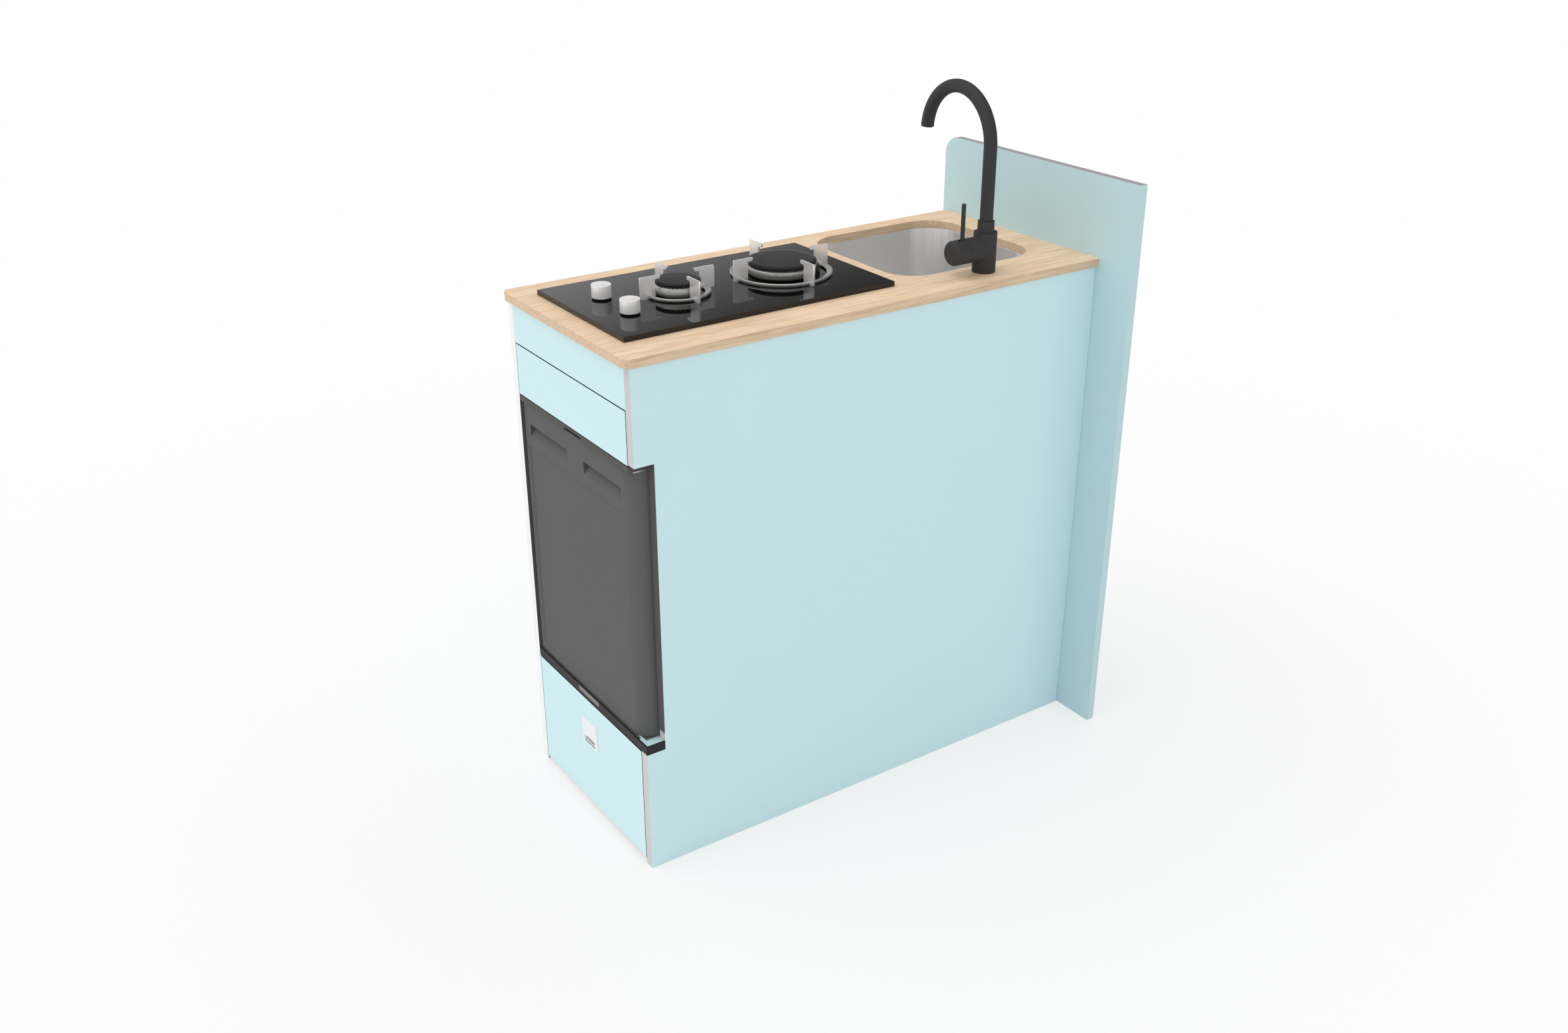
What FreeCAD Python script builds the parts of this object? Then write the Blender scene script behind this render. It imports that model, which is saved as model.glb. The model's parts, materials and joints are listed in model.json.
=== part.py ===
"""Kitchenette unit with sink and hob.

A narrow, deep floor unit for a small living space. Two long side panels stand on the
floor and carry an oak worktop with a two-burner gas hob, an undermounted steel basin
and a gooseneck mixer tap. The short front holds a fascia, a shallow upper drawer, a
built-in compressor fridge and a latched lower drawer. A taller end panel closes the
far end and rises above the worktop.

Millimetres. +X is to the right of someone who faces the front, +Y runs from the front
to the end panel, +Z is up. While it is drawn, X = 0 is the outer face of the right side
panel, Y = 0 the front and Z = 0 the floor. Each piece is moved by ORIGIN when it is
saved, which puts the origin at the bottom centre of the whole unit.
"""
import FreeCAD
import Part

import math
import os

VEC = FreeCAD.Vector
X_AXIS = VEC(1, 0, 0)
Y_AXIS = VEC(0, 1, 0)
Z_AXIS = VEC(0, 0, 1)

# ---------------------------------------------------------------- carcass
UNIT_WIDTH = 420.0            # over both side panels
UNIT_DEPTH = 955.0            # front edges to the end panel
SIDE_HEIGHT = 919.0           # floor to the underside of the worktop
SIDE_BOARD = 18.0
SHELF_BOARD = 15.0
FRONT_BOARD = 16.0
DECK_BOARD = 8.0
FRONT_GAP = 2.0               # between two fronts, and beside a front
FLOOR_GAP = 10.0              # under the lower drawer front
BOTTOM_BOARD_RISE = 12.0
LOWER_FRONT_HEIGHT = 221.0
LOWER_FRONT_TOP_GAP = 2.5
UPPER_FRONT_HEIGHT = 90.0
FASCIA_HEIGHT = 73.0
PARTITION_CLEARANCE = 4.5     # behind the hob's glass
SERVICE_CUT_WIDTH = 160.0     # way in for pipes and hoses, in the bottom board
SERVICE_CUT_DEPTH = 90.0
SERVICE_CUT_MARGIN = 30.0     # from the end panel
SERVICE_CUT_R = 20.0

WORKTOP_THICKNESS = 15.0
WORKTOP_FRONT_OVERHANG = 10.0
WORKTOP_RIGHT_OVERHANG = 5.5
WORKTOP_CORNER_R = 15.0

END_PANEL_THICKNESS = 16.0
END_PANEL_HEIGHT = 1080.0
END_PANEL_LEFT_REACH = 8.5
END_PANEL_RIGHT_REACH = 87.5
END_PANEL_CORNER_R = 32.0

# ---------------------------------------------------------------- fridge
NICHE_NOTCH_DEPTH = 35.5      # cut in the front edge of the right side panel
NICHE_NOTCH_ABOVE_DRAWER = 2.0
TRIM_THICKNESS = 3.0
TRIM_RISE = 1.5               # over the fridge board
LOCK_CENTRE = 206.0           # trim insert and hood pocket, from the unit's right face
TRIM_INSERT_WIDTH = 75.0
TRIM_INSERT_HEIGHT = 9.0
TRIM_INSERT_DROP = 1.0        # under the trim's top edge
TRIM_INSERT_PROUD = 0.6
HOOD_HEIGHT = 10.5
HOOD_DEPTH = 45.0
HOOD_END_GAP = 19.0           # right end of the hood to the unit's right face
HOOD_POCKET_WIDTH = 57.0
HOOD_POCKET_HEIGHT = 6.0
HOOD_POCKET_DEPTH = 30.0
FRAME_STRIP = 1.0             # sheet of the upright strip
FRAME_STRIP_FOOT = 15.0       # the strip stops this far over the trim
DOOR_SETBACK = 5.0
DOOR_THICKNESS = 32.0
DOOR_SIDE_GAP = 1.0
DOOR_TOP_GAP = 2.5
DOOR_BOTTOM_GAP = 1.0
DOOR_ROUND_R = 32.0           # rounded edge on the hinge side
DOOR_CORNER_R = 3.0
DOOR_BAND_HEIGHT = 35.0       # proud band with the two grips
DOOR_FIELD_DEPTH = 2.5        # sunken main field
DOOR_FIELD_LEFT = 12.5
DOOR_FIELD_TOP = 78.0
DOOR_FIELD_BOTTOM = 13.0
DOOR_FIELD_RIGHT = 32.0
DOOR_FIELD_SLOPE = 3.0
GRIP_DEPTH = 17.0
GRIP_HEIGHT = 22.0
GRIP_TOP_MARGIN = 36.0
GRIP_LEFT_START = 23.0        # from the door's left edge
GRIP_LEFT_WIDTH = 137.0
GRIP_RIGHT_START = 219.0
GRIP_RIGHT_WIDTH = 127.0
HINGE_INSET_X = 12.0          # pivot from the door's right edge
HINGE_INSET_Y = 20.0          # pivot from the door's front face
HINGE_PIN_R = 4.0
HINGE_PIN_LENGTH = 11.0
HINGE_PLATE = 2.0
HINGE_PLATE_WIDTH = 30.0
PIN_CLEARANCE = 0.05          # on the radius of every running fit
GASKET_DEPTH = 5.7
GASKET_WIDTH = 10.0
GASKET_MARGIN = 11.0
GASKET_SIDE_MARGIN = 4.0
GASKET_HINGE_MARGIN = 26.0
SEAL_CLEARANCE = 0.3
FRIDGE_DEPTH = 425.0
FRIDGE_WALL = 22.0            # insulated casing
LINER_WALL = 2.0
FRIDGE_BACK_WALL = 26.0
MACHINE_DEPTH = 113.0         # recess for the compressor, from the back
MACHINE_HEIGHT = 112.0
SHELF_RISE = 165.0            # wire shelf over the liner's floor
SHELF_WIRE_R = 2.0
SHELF_WIRES = 9
SHELF_LEDGE = 6.0
BIN_WALL = 2.0
BIN_DEPTH = 36.0
LOWER_BIN_HEIGHT = 90.0
UPPER_BIN_HEIGHT = 50.0
UPPER_BIN_RISE = 230.0
LINER_PLATE = 2.0
LINER_PLATE_MARGIN = 2.0      # inside the gasket
BIN_LEFT_CLEARANCE = 10.0
FREEZER_HEIGHT = 110.0
FREEZER_SETBACK = 157.0       # behind the liner's mouth
FREEZER_SHEET = 1.5
FREEZER_SIDE_GAP = 12.0
FLAP_THICKNESS = 3.0
FLAP_CLEARANCE = 0.5
FLAP_PIN_R = 2.0
FLAP_PULL_WIDTH = 50.0
FLAP_PULL_DEPTH = 6.0
FLAP_PULL_THICKNESS = 3.0
FLAP_TRUNNION = 1.5
THERMOSTAT_R = 15.0
THERMOSTAT_THICKNESS = 12.0
THERMOSTAT_SPINDLE_R = 3.0
THERMOSTAT_SPINDLE = 9.0
THERMOSTAT_GRIP_LENGTH = 24.0
THERMOSTAT_GRIP_WIDTH = 5.0
THERMOSTAT_EDGE = 1.5
COMPRESSOR_R = 50.0
COMPRESSOR_HEIGHT = 92.0
COMPRESSOR_PLATE = 3.0
COMPRESSOR_SHOULDER = 16.0
COMPRESSOR_SEAM = 3.0
COMPRESSOR_FOOT_MARGIN = 8.0
CONDENSER_WIDTH = 90.0
CONDENSER_HEIGHT = 96.0
CONDENSER_DEPTH = 80.0
CONDENSER_FINS = 12
CONDENSER_FIN = 1.6
CONDENSER_HEADER = 12.0

LATCH_BOLT_WIDTH = 39.0
LATCH_BOLT_DEPTH = 10.0
LATCH_BOLT_LENGTH = 28.0
SLIDE_CLEARANCE = 0.3

# ---------------------------------------------------------------- drawers
RUNNER_GAP = 13.0             # side panel to drawer box
RUNNER_LENGTH = 450.0
RUNNER_HEIGHT = 35.0
RUNNER_SHEET = 1.5
RUNNER_FLANGE = 7.5
RUNNER_PLAY = 0.4
RUNNER_WEB_PLAY = 1.0
RUNNER_START = 2.0            # behind the drawer front
DRAWER_WALL = 12.0
DRAWER_FLOOR = 6.0
DRAWER_LENGTH = 450.0
UPPER_BOX_HEIGHT = 70.0
UPPER_BOX_RISE = 8.0          # over the lower edge of its front
LOWER_BOX_HEIGHT = 92.0
LOWER_BOX_RISE = 26.0

DRAWER_LATCH_X = 209.7        # from the unit's right face
DRAWER_LATCH_DROP = 44.0      # top of the plate, under the top of the front
PLATE_WIDTH = 54.5
PLATE_HEIGHT = 51.5
PLATE_THICKNESS = 1.5
PLATE_CORNER_R = 6.0
HOUSING_MARGIN = 3.0
HOUSING_DEPTH = 28.0
HOUSING_WALL = 3.0
RECESS_WIDTH = 39.0
RECESS_HEIGHT = 14.5
RECESS_RISE = 1.8
RECESS_SHIFT = -1.8
PADDLE_THICKNESS = 3.0
PADDLE_SETBACK = 4.0
PADDLE_PIVOT_RISE = 22.5      # over the plate's lower edge
PADDLE_PIVOT_SETBACK = 10.0
PADDLE_PIN_R = 1.5
PADDLE_ARM = 13.0
PADDLE_ARM_WIDTH = 8.0
PADDLE_ARM_THICKNESS = 3.0
PADDLE_HUB_R = 3.0
PADDLE_FOOT_CLEARANCE = 2.5
PADDLE_TRUNNION = 2.0
DRAWER_BOLT_WIDTH = 16.0
DRAWER_BOLT_DEPTH = 5.0
DRAWER_BOLT_SETBACK = 18.5
DRAWER_BOLT_TAIL = 8.0        # under the pivot
DRAWER_BOLT_TIP_GAP = 0.4
DRAWER_BOLT_WINDOW_BELOW = 3.2  # arm's room in the bolt, under and over the pivot
DRAWER_BOLT_WINDOW_ABOVE = 4.2
STRIKE_SHEET = 1.5
STRIKE_WIDTH = 40.0
STRIKE_LENGTH = 16.0
STRIKE_SLOT_PLAY = 1.0
MORTISE_DEPTH = 6.0

# ---------------------------------------------------------------- hob
HOB_RIGHT = 66.0              # glass to the unit's right face
HOB_FRONT = 28.3
HOB_WIDTH = 296.0
HOB_LENGTH = 519.2
GLASS_THICKNESS = 8.8
TRAY_MARGIN = 12.0            # glass edge to the steel tray
TRAY_DEPTH = 45.0
TRAY_SHEET = 1.2
CUTOUT_CLEARANCE = 2.0
KNOB_Y = 94.0
KNOB_SPACING = 95.2
KNOB_R = 16.5
KNOB_HEIGHT = 24.5
KNOB_LIFT = 1.0               # over the glass
KNOB_EDGE_R = 1.5
KNOB_CENTRE = 210.8           # between the knobs, from the unit's right face
STEM_R = 4.0
STEM_HEIGHT = 16.0            # over the glass
STEM_HOLE_CLEARANCE = 1.5
VALVE_WIDTH = 22.0
VALVE_LENGTH = 26.0
VALVE_HEIGHT = 30.0
BURNER_CENTRE = 214.3         # from the unit's right face
SMALL_BURNER_Y = 211.0
LARGE_BURNER_Y = 417.0
SMALL_BURNER_R = 38.0
LARGE_BURNER_R = 60.0
BURNER_HEIGHT = 16.0
BURNER_LIFT = 2.0
BURNER_NECK = 0.72            # neck over body radius
BURNER_SKIRT = 4.0            # casting's slope under the neck
CAP_GAP = 2.5
CAP_THICKNESS = 4.5
CAP_OVERHANG = 1.0
CAP_SPIGOT = 0.35             # spigot over cap radius
BURNER_STEM_R = 22.0
SMALL_RING_R = 55.5
LARGE_RING_R = 88.0
RING_WIDTH = 10.0
RING_HEIGHT = 5.5
BLADE_THICKNESS = 3.0
BLADE_HEIGHT = 37.0
BLADE_LEG = 28.0
BLADE_LIP = 6.0
SMALL_BLADE_R = 70.5
LARGE_BLADE_R = 96.7
SMALL_TIP_R = 32.0
LARGE_TIP_R = 58.0
BLADES = 4
IGNITER_ANGLE = 65.0
IGNITER_WIDTH = 17.0
IGNITER_DEPTH = 5.0
IGNITER_HEIGHT = 14.0
PIPE_R = 4.0
PIPE_DROP = 19.0              # under the worktop's lower face
PIPE_SIDE = 45.0              # riser line, from the unit's right face
PIPE_BEND = 20.0
PIPE_TAIL = 46.3              # behind the partition
PIPE_COLLAR_R = 9.0
PIPE_COLLAR_WIDTH = 6.0
PIPE_COLLAR_GAP = 0.3
FEED_R = 3.0
FEED_BEND = 15.0
FEED_SEAT = 4.0

# ---------------------------------------------------------------- sink
SINK_RIGHT = 84.5             # cut-out to the unit's right face
SINK_LEFT_MARGIN = 34.0       # cut-out to the unit's left face
SINK_HOB_GAP = 38.0
SINK_REAR_MARGIN = 58.0       # cut-out to the end panel
SINK_CORNER_R = 62.0
BASIN_REVEAL = 1.5
BASIN_DEPTH = 150.0
BASIN_SHEET = 1.0
BASIN_FLANGE = 12.0
BASIN_FLOOR_R = 25.0
CLIP_WIDTH = 20.0
CLIP_LENGTH = 16.0
CLIP_SHEET = 2.0
WASTE_R = 30.0
WASTE_HOLE_R = 24.0
WASTE_WALL = 2.0
WASTE_CUP_DEPTH = 40.0
WASTE_LIP = 1.2
STRAINER_GAP = 0.4
STRAINER_WALL = 1.2
STRAINER_DEPTH = 22.0
STRAINER_KNOB_R = 5.0
STRAINER_KNOB_HEIGHT = 14.0
STRAINER_HOLES = 6
STRAINER_HOLE_R = 2.4
TRAP_R = 32.0
TRAP_HEIGHT = 90.0
TRAP_WALL = 2.5
TRAP_DIP_R = 16.0
TRAP_TAIL_R = 12.5
TRAP_TAIL_LENGTH = 80.0       # from the trap's axis
TRAP_STOP_R = 15.5
TRAP_STOP_START = 38.0
TRAP_STOP_WIDTH = 4.0

# ---------------------------------------------------------------- tap
TAP_X = 50.5                  # from the unit's right face
TAP_SINK_OFFSET = -10.25      # from the middle of the basin, along the unit
TAP_BODY_R = 20.5
TAP_BODY_HEIGHT = 70.0
TAP_COLLAR_R = 14.5
TAP_COLLAR_HEIGHT = 19.0
TAP_TUBE_R = 11.5
TAP_TUBE_WALL = 2.0
TAP_BEND_R = 88.7
TAP_BEND_HEIGHT = 212.7       # bend centre over the worktop
TAP_BEND_ANGLE = 175.0
TAP_AIM = 177.5               # direction of the outlet, from +X
TAP_SOCKET = 14.0             # spout sunk in the body
TAP_SEAT_CLEARANCE = 0.3
SIDE_HUB_R = 21.5
SIDE_HUB_HEIGHT = 42.0        # axis over the worktop
SIDE_HUB_START = 46.0         # joint line, in front of the tap's axis
SIDE_CAP_LENGTH = 30.0
SIDE_CAP_ROUND = 6.0
CARTRIDGE_R = 12.0
CARTRIDGE_DEPTH = 16.0
LEVER_PIN_R = 3.75
LEVER_PIN_TOP = 83.0          # over the lever's axis
LEVER_PIN_SETBACK = 6.0       # from the joint line
LEVER_HUB_R = 6.0
LEVER_HUB_LENGTH = 20.0
LEVER_TILT_CLEARANCE = 0.3
LEVER_TILT = 14.0             # degrees
TAP_SHANK_R = 12.0
TAP_SHANK_LENGTH = 45.0
TAP_NUT_R = 17.0
TAP_NUT_HEIGHT = 9.0
TAP_WASHER_HEIGHT = 3.0
TAIL_R = 4.5
TAIL_LENGTH = 120.0
TAIL_SPACING = 12.0

# ---------------------------------------------------------------- places worked out from them
INNER_RIGHT = -SIDE_BOARD
INNER_LEFT = SIDE_BOARD - UNIT_WIDTH
FRONT_RIGHT = INNER_RIGHT - FRONT_GAP
FRONT_LEFT = INNER_LEFT + FRONT_GAP
LOWER_FRONT_TOP = FLOOR_GAP + LOWER_FRONT_HEIGHT
NICHE_BOTTOM = LOWER_FRONT_TOP + LOWER_FRONT_TOP_GAP
FRIDGE_BOTTOM = NICHE_BOTTOM + SHELF_BOARD
TRIM_TOP = FRIDGE_BOTTOM + TRIM_RISE
FASCIA_BOTTOM = SIDE_HEIGHT - FASCIA_HEIGHT
UPPER_FRONT_TOP = FASCIA_BOTTOM - FRONT_GAP
UPPER_FRONT_BOTTOM = UPPER_FRONT_TOP - UPPER_FRONT_HEIGHT
NOTCH_TOP = UPPER_FRONT_BOTTOM + NICHE_NOTCH_ABOVE_DRAWER
HOOD_TOP = UPPER_FRONT_BOTTOM - FRONT_GAP
HOOD_BOTTOM = HOOD_TOP - HOOD_HEIGHT
DOOR_TOP = HOOD_BOTTOM - DOOR_TOP_GAP
DOOR_BOTTOM = TRIM_TOP + DOOR_BOTTOM_GAP
DOOR_LEFT = INNER_LEFT + DOOR_SIDE_GAP
DOOR_RIGHT = FRONT_RIGHT
DOOR_BACK = DOOR_SETBACK + DOOR_THICKNESS
CABINET_FRONT = DOOR_BACK + GASKET_DEPTH + SEAL_CLEARANCE
CABINET_BACK = CABINET_FRONT + FRIDGE_DEPTH
HINGE_X = DOOR_RIGHT - HINGE_INSET_X
HINGE_Y = DOOR_SETBACK + HINGE_INSET_Y
DECK_TOP = HOOD_TOP - FRONT_GAP
WORKTOP_TOP = SIDE_HEIGHT + WORKTOP_THICKNESS
GLASS_TOP = WORKTOP_TOP + GLASS_THICKNESS
TRAY_BOTTOM = WORKTOP_TOP - TRAY_DEPTH
HOB_REAR = HOB_FRONT + HOB_LENGTH
PARTITION_FRONT = HOB_REAR + PARTITION_CLEARANCE
PARTITION_BACK = PARTITION_FRONT + SHELF_BOARD
BASIN_BOTTOM = SIDE_HEIGHT - BASIN_SHEET - BASIN_DEPTH
SINK_FRONT = HOB_REAR + SINK_HOB_GAP
SINK_LENGTH = UNIT_DEPTH - SINK_REAR_MARGIN - SINK_FRONT
SINK_WIDTH = UNIT_WIDTH - SINK_LEFT_MARGIN - SINK_RIGHT
SINK_X = -SINK_RIGHT - SINK_WIDTH / 2
SINK_Y = SINK_FRONT + SINK_LENGTH / 2
TAP_Y = SINK_Y + TAP_SINK_OFFSET
BURNER_X = -BURNER_CENTRE
PIPE_Z = SIDE_HEIGHT - PIPE_DROP
TRIM_INSERT_X = -LOCK_CENTRE
HUB_Z = WORKTOP_TOP + SIDE_HUB_HEIGHT
HUB_JOINT_Y = TAP_Y - SIDE_HUB_START
ORIGIN = VEC(
    (UNIT_WIDTH + END_PANEL_LEFT_REACH - END_PANEL_RIGHT_REACH) / 2,
    -(UNIT_DEPTH + END_PANEL_THICKNESS - WORKTOP_FRONT_OVERHANG) / 2,
    0,
)


# ---------------------------------------------------------------- drawing helpers
def save(node, shape):
    """Write one sub-part, moved so that the unit's bottom centre is the origin."""
    moved = shape.copy()
    moved.translate(ORIGIN)
    moved.exportStep(f"parts/{node}.step")


def block(x0, x1, y0, y1, z0, z1):
    return Part.makeBox(x1 - x0, y1 - y0, z1 - z0, VEC(x0, y0, z0))


def rod(radius, start, axis, length):
    return Part.makeCylinder(radius, length, start, axis)


def tube(outer, inner, start, axis, length):
    return rod(outer, start, axis, length).cut(rod(inner, start, axis, length))


def rounded_block(x0, x1, y0, y1, z0, z1, radius, direction="Z"):
    """A block whose four edges along one direction are rounded."""
    solid = block(x0, x1, y0, y1, z0, z1)
    edges = [e for e in solid.Edges if edge_runs_along(e, direction)]
    return solid.makeFillet(radius, edges)


def edge_runs_along(edge, direction):
    step = edge.Vertexes[-1].Point - edge.Vertexes[0].Point
    size = {"X": abs(step.x), "Y": abs(step.y), "Z": abs(step.z)}
    return size[direction] > 0.99 * step.Length > 0


def corner_edges(solid, direction, points):
    """The edges along a direction that pass through one of the given points."""
    found = []
    for edge in solid.Edges:
        if edge_runs_along(edge, direction):
            if any(edge.distToShape(Part.Vertex(p))[0] < 0.01 for p in points):
                found.append(edge)
    return found


def extrude_yz(points, x0, x1):
    """A profile of (y, z) points, extruded from x0 to x1."""
    corners = [VEC(x0, y, z) for y, z in points]
    wire = Part.makePolygon(corners + corners[:1])
    return Part.Face(wire).extrude(VEC(x1 - x0, 0, 0))


def extrude_xz(points, y0, y1):
    """A profile of (x, z) points, extruded from y0 to y1."""
    corners = [VEC(x, y0, z) for x, z in points]
    wire = Part.makePolygon(corners + corners[:1])
    return Part.Face(wire).extrude(VEC(0, y1 - y0, 0))


def bent_rod(points, radius, bend):
    """A round rod through straight runs, with an arc of one radius at each corner."""
    corners = [VEC(*p) for p in points]
    edges = []
    start = corners[0]
    for before, corner, after in zip(corners, corners[1:], corners[2:]):
        way_in = (corner - before).normalize()
        way_out = (after - corner).normalize()
        half_turn = way_in.getAngle(way_out) / 2
        trim = bend * math.tan(half_turn)
        arc_start = corner - way_in * trim
        arc_end = corner + way_out * trim
        inward = (way_out - way_in).normalize()
        middle = corner + inward * (bend / math.cos(half_turn) - bend)
        edges.append(Part.LineSegment(start, arc_start).toShape())
        edges.append(Part.Arc(arc_start, middle, arc_end).toShape())
        start = arc_end
    edges.append(Part.LineSegment(start, corners[-1]).toShape())
    first_way = (corners[1] - corners[0]).normalize()
    section = Part.Wire(Part.makeCircle(radius, corners[0], first_way))
    return Part.Wire(edges).makePipeShell([section], True, True)


def join(solids):
    """Fuse touching solids into one and merge their flush faces."""
    first = solids[0]
    return first.fuse(solids[1:]).removeSplitter()


def group(solids):
    return Part.makeCompound(solids)


# ---------------------------------------------------------------- carcass
def side_panel_right():
    panel = block(INNER_RIGHT, 0, 0, UNIT_DEPTH, 0, SIDE_HEIGHT)
    notch = block(INNER_RIGHT - 1, 1, -1, NICHE_NOTCH_DEPTH, NICHE_BOTTOM, NOTCH_TOP)
    return panel.cut(notch)


def side_panel_left():
    return block(-UNIT_WIDTH, INNER_LEFT, 0, UNIT_DEPTH, 0, SIDE_HEIGHT)


def end_panel():
    left = -UNIT_WIDTH - END_PANEL_LEFT_REACH
    back = UNIT_DEPTH + END_PANEL_THICKNESS
    panel = block(left, END_PANEL_RIGHT_REACH, UNIT_DEPTH, back, 0, END_PANEL_HEIGHT)
    top_left = VEC(left, UNIT_DEPTH, END_PANEL_HEIGHT)
    return panel.makeFillet(END_PANEL_CORNER_R, corner_edges(panel, "Y", [top_left]))


def bottom_board():
    """The lowest board, with a way in for pipes and hoses under the basin."""
    top = BOTTOM_BOARD_RISE + SHELF_BOARD
    front = FRONT_BOARD + FRONT_GAP
    board = block(INNER_LEFT, INNER_RIGHT, front, UNIT_DEPTH, BOTTOM_BOARD_RISE, top)
    half = SERVICE_CUT_WIDTH / 2
    back = UNIT_DEPTH - SERVICE_CUT_MARGIN
    way_in = rounded_block(SINK_X - half, SINK_X + half, back - SERVICE_CUT_DEPTH, back,
                           BOTTOM_BOARD_RISE - 1, top + 1, SERVICE_CUT_R)
    return board.cut(way_in)


def mortise_box():
    """The slot in the fridge board that the drawer bolt rises into."""
    half = DRAWER_BOLT_WIDTH / 2 + STRIKE_SLOT_PLAY
    y0 = DRAWER_BOLT_SETBACK - STRIKE_SLOT_PLAY
    y1 = DRAWER_BOLT_SETBACK + DRAWER_BOLT_DEPTH + STRIKE_SLOT_PLAY
    x = -DRAWER_LATCH_X
    low = NICHE_BOTTOM - STRIKE_SHEET - 1
    return block(x - half, x + half, y0, y1, low, NICHE_BOTTOM + MORTISE_DEPTH)


def fridge_board():
    low = NICHE_BOTTOM
    top = FRIDGE_BOTTOM
    front = TRIM_THICKNESS
    board = block(INNER_LEFT, INNER_RIGHT, front, PARTITION_BACK, low, top)
    tongue = block(INNER_RIGHT, -TRIM_THICKNESS, front, NICHE_NOTCH_DEPTH, low, top)
    return join([board, tongue]).cut(mortise_box())


def drawer_deck():
    low = DECK_TOP - DECK_BOARD
    return block(INNER_LEFT, INNER_RIGHT, HOOD_DEPTH, PARTITION_FRONT, low, DECK_TOP)


def partition_board():
    front = PARTITION_FRONT
    board = block(INNER_LEFT, INNER_RIGHT, front, PARTITION_BACK, FRIDGE_BOTTOM, SIDE_HEIGHT)
    hole_start = VEC(-PIPE_SIDE, front - 1, PIPE_Z)
    hole = rod(PIPE_R + CUTOUT_CLEARANCE, hole_start, Y_AXIS, SHELF_BOARD + 2)
    return board.cut(hole)


def fascia_rail():
    return block(INNER_LEFT, INNER_RIGHT, 0, FRONT_BOARD, FASCIA_BOTTOM, SIDE_HEIGHT)


def sink_outline(inset, z0, z1):
    """A rounded block of the sink cut-out's outline, drawn in by inset."""
    return rounded_block(
        -SINK_RIGHT - SINK_WIDTH + inset,
        -SINK_RIGHT - inset,
        SINK_FRONT + inset,
        SINK_FRONT + SINK_LENGTH - inset,
        z0,
        z1,
        SINK_CORNER_R - inset,
    )


def hob_block(margin, z0, z1):
    """A block of the hob glass's outline, drawn in by margin."""
    return block(
        -HOB_RIGHT - HOB_WIDTH + margin,
        -HOB_RIGHT - margin,
        HOB_FRONT + margin,
        HOB_FRONT + HOB_LENGTH - margin,
        z0,
        z1,
    )


def worktop():
    front = -WORKTOP_FRONT_OVERHANG
    right = WORKTOP_RIGHT_OVERHANG
    slab = block(-UNIT_WIDTH, right, front, UNIT_DEPTH, SIDE_HEIGHT, WORKTOP_TOP)
    front_corners = [VEC(-UNIT_WIDTH, front, SIDE_HEIGHT), VEC(right, front, SIDE_HEIGHT)]
    slab = slab.makeFillet(WORKTOP_CORNER_R, corner_edges(slab, "Z", front_corners))
    below = SIDE_HEIGHT - 1
    above = WORKTOP_TOP + 1
    slab = slab.cut(sink_outline(0, below, above))
    slab = slab.cut(hob_block(TRAY_MARGIN - CUTOUT_CLEARANCE, below, above))
    tap_hole_r = TAP_SHANK_R + CUTOUT_CLEARANCE
    return slab.cut(rod(tap_hole_r, VEC(-TAP_X, TAP_Y, below), Z_AXIS, above - below))


# ---------------------------------------------------------------- drawers
def drawer_front(bottom, top):
    return block(FRONT_LEFT, FRONT_RIGHT, 0, FRONT_BOARD, bottom, top)


def drawer_box(bottom, height):
    """An open-topped box that hangs between the runners."""
    left = INNER_LEFT + RUNNER_GAP
    right = INNER_RIGHT - RUNNER_GAP
    back = FRONT_BOARD + DRAWER_LENGTH
    outside = block(left, right, FRONT_BOARD, back, bottom, bottom + height)
    inside = block(
        left + DRAWER_WALL,
        right - DRAWER_WALL,
        FRONT_BOARD + DRAWER_WALL,
        back - DRAWER_WALL,
        bottom + DRAWER_FLOOR,
        bottom + height + 1,
    )
    return outside.cut(inside)


def runner_channel(web, half_height, flange, z, side):
    """One rolled channel of a telescopic runner, its web at a distance from the panel."""
    y0 = FRONT_BOARD + RUNNER_START
    y1 = y0 + RUNNER_LENGTH
    sheet = RUNNER_SHEET
    outline = [
        (web, -half_height),
        (web + flange, -half_height),
        (web + flange, sheet - half_height),
        (web + sheet, sheet - half_height),
        (web + sheet, half_height - sheet),
        (web + flange, half_height - sheet),
        (web + flange, half_height),
        (web, half_height),
    ]
    wall = INNER_RIGHT if side > 0 else INNER_LEFT
    return extrude_xz([(wall - side * a, z + h) for a, h in outline], y0, y1)


def runner_stage(stage, z):
    """Both runners' fixed rail (0) or middle member (1) at one height."""
    half = RUNNER_HEIGHT / 2 - stage * (RUNNER_SHEET + RUNNER_PLAY)
    web = stage * (RUNNER_SHEET + RUNNER_PLAY + RUNNER_WEB_PLAY)
    return [runner_channel(web, half, RUNNER_FLANGE, z, side) for side in (1, -1)]


def runner_slide(z):
    """Both drawer members: channels that open towards the panels."""
    half = RUNNER_HEIGHT / 2 - 2 * (RUNNER_SHEET + RUNNER_PLAY)
    y0 = FRONT_BOARD + RUNNER_START
    y1 = y0 + RUNNER_LENGTH - RUNNER_START
    pieces = []
    for side in (1, -1):
        wall = INNER_RIGHT if side > 0 else INNER_LEFT
        box_face = wall - side * RUNNER_GAP
        lip = box_face + side * RUNNER_FLANGE
        inner = box_face + side * RUNNER_SHEET
        web = block(min(box_face, inner), max(box_face, inner), y0, y1, z - half, z + half)
        top = block(min(box_face, lip), max(box_face, lip), y0, y1, z + half - RUNNER_SHEET, z + half)
        bottom = block(min(box_face, lip), max(box_face, lip), y0, y1, z - half, z - half + RUNNER_SHEET)
        pieces.append(join([web, top, bottom]))
    return group(pieces)


def upper_box_bottom():
    return UPPER_FRONT_BOTTOM + UPPER_BOX_RISE


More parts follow.
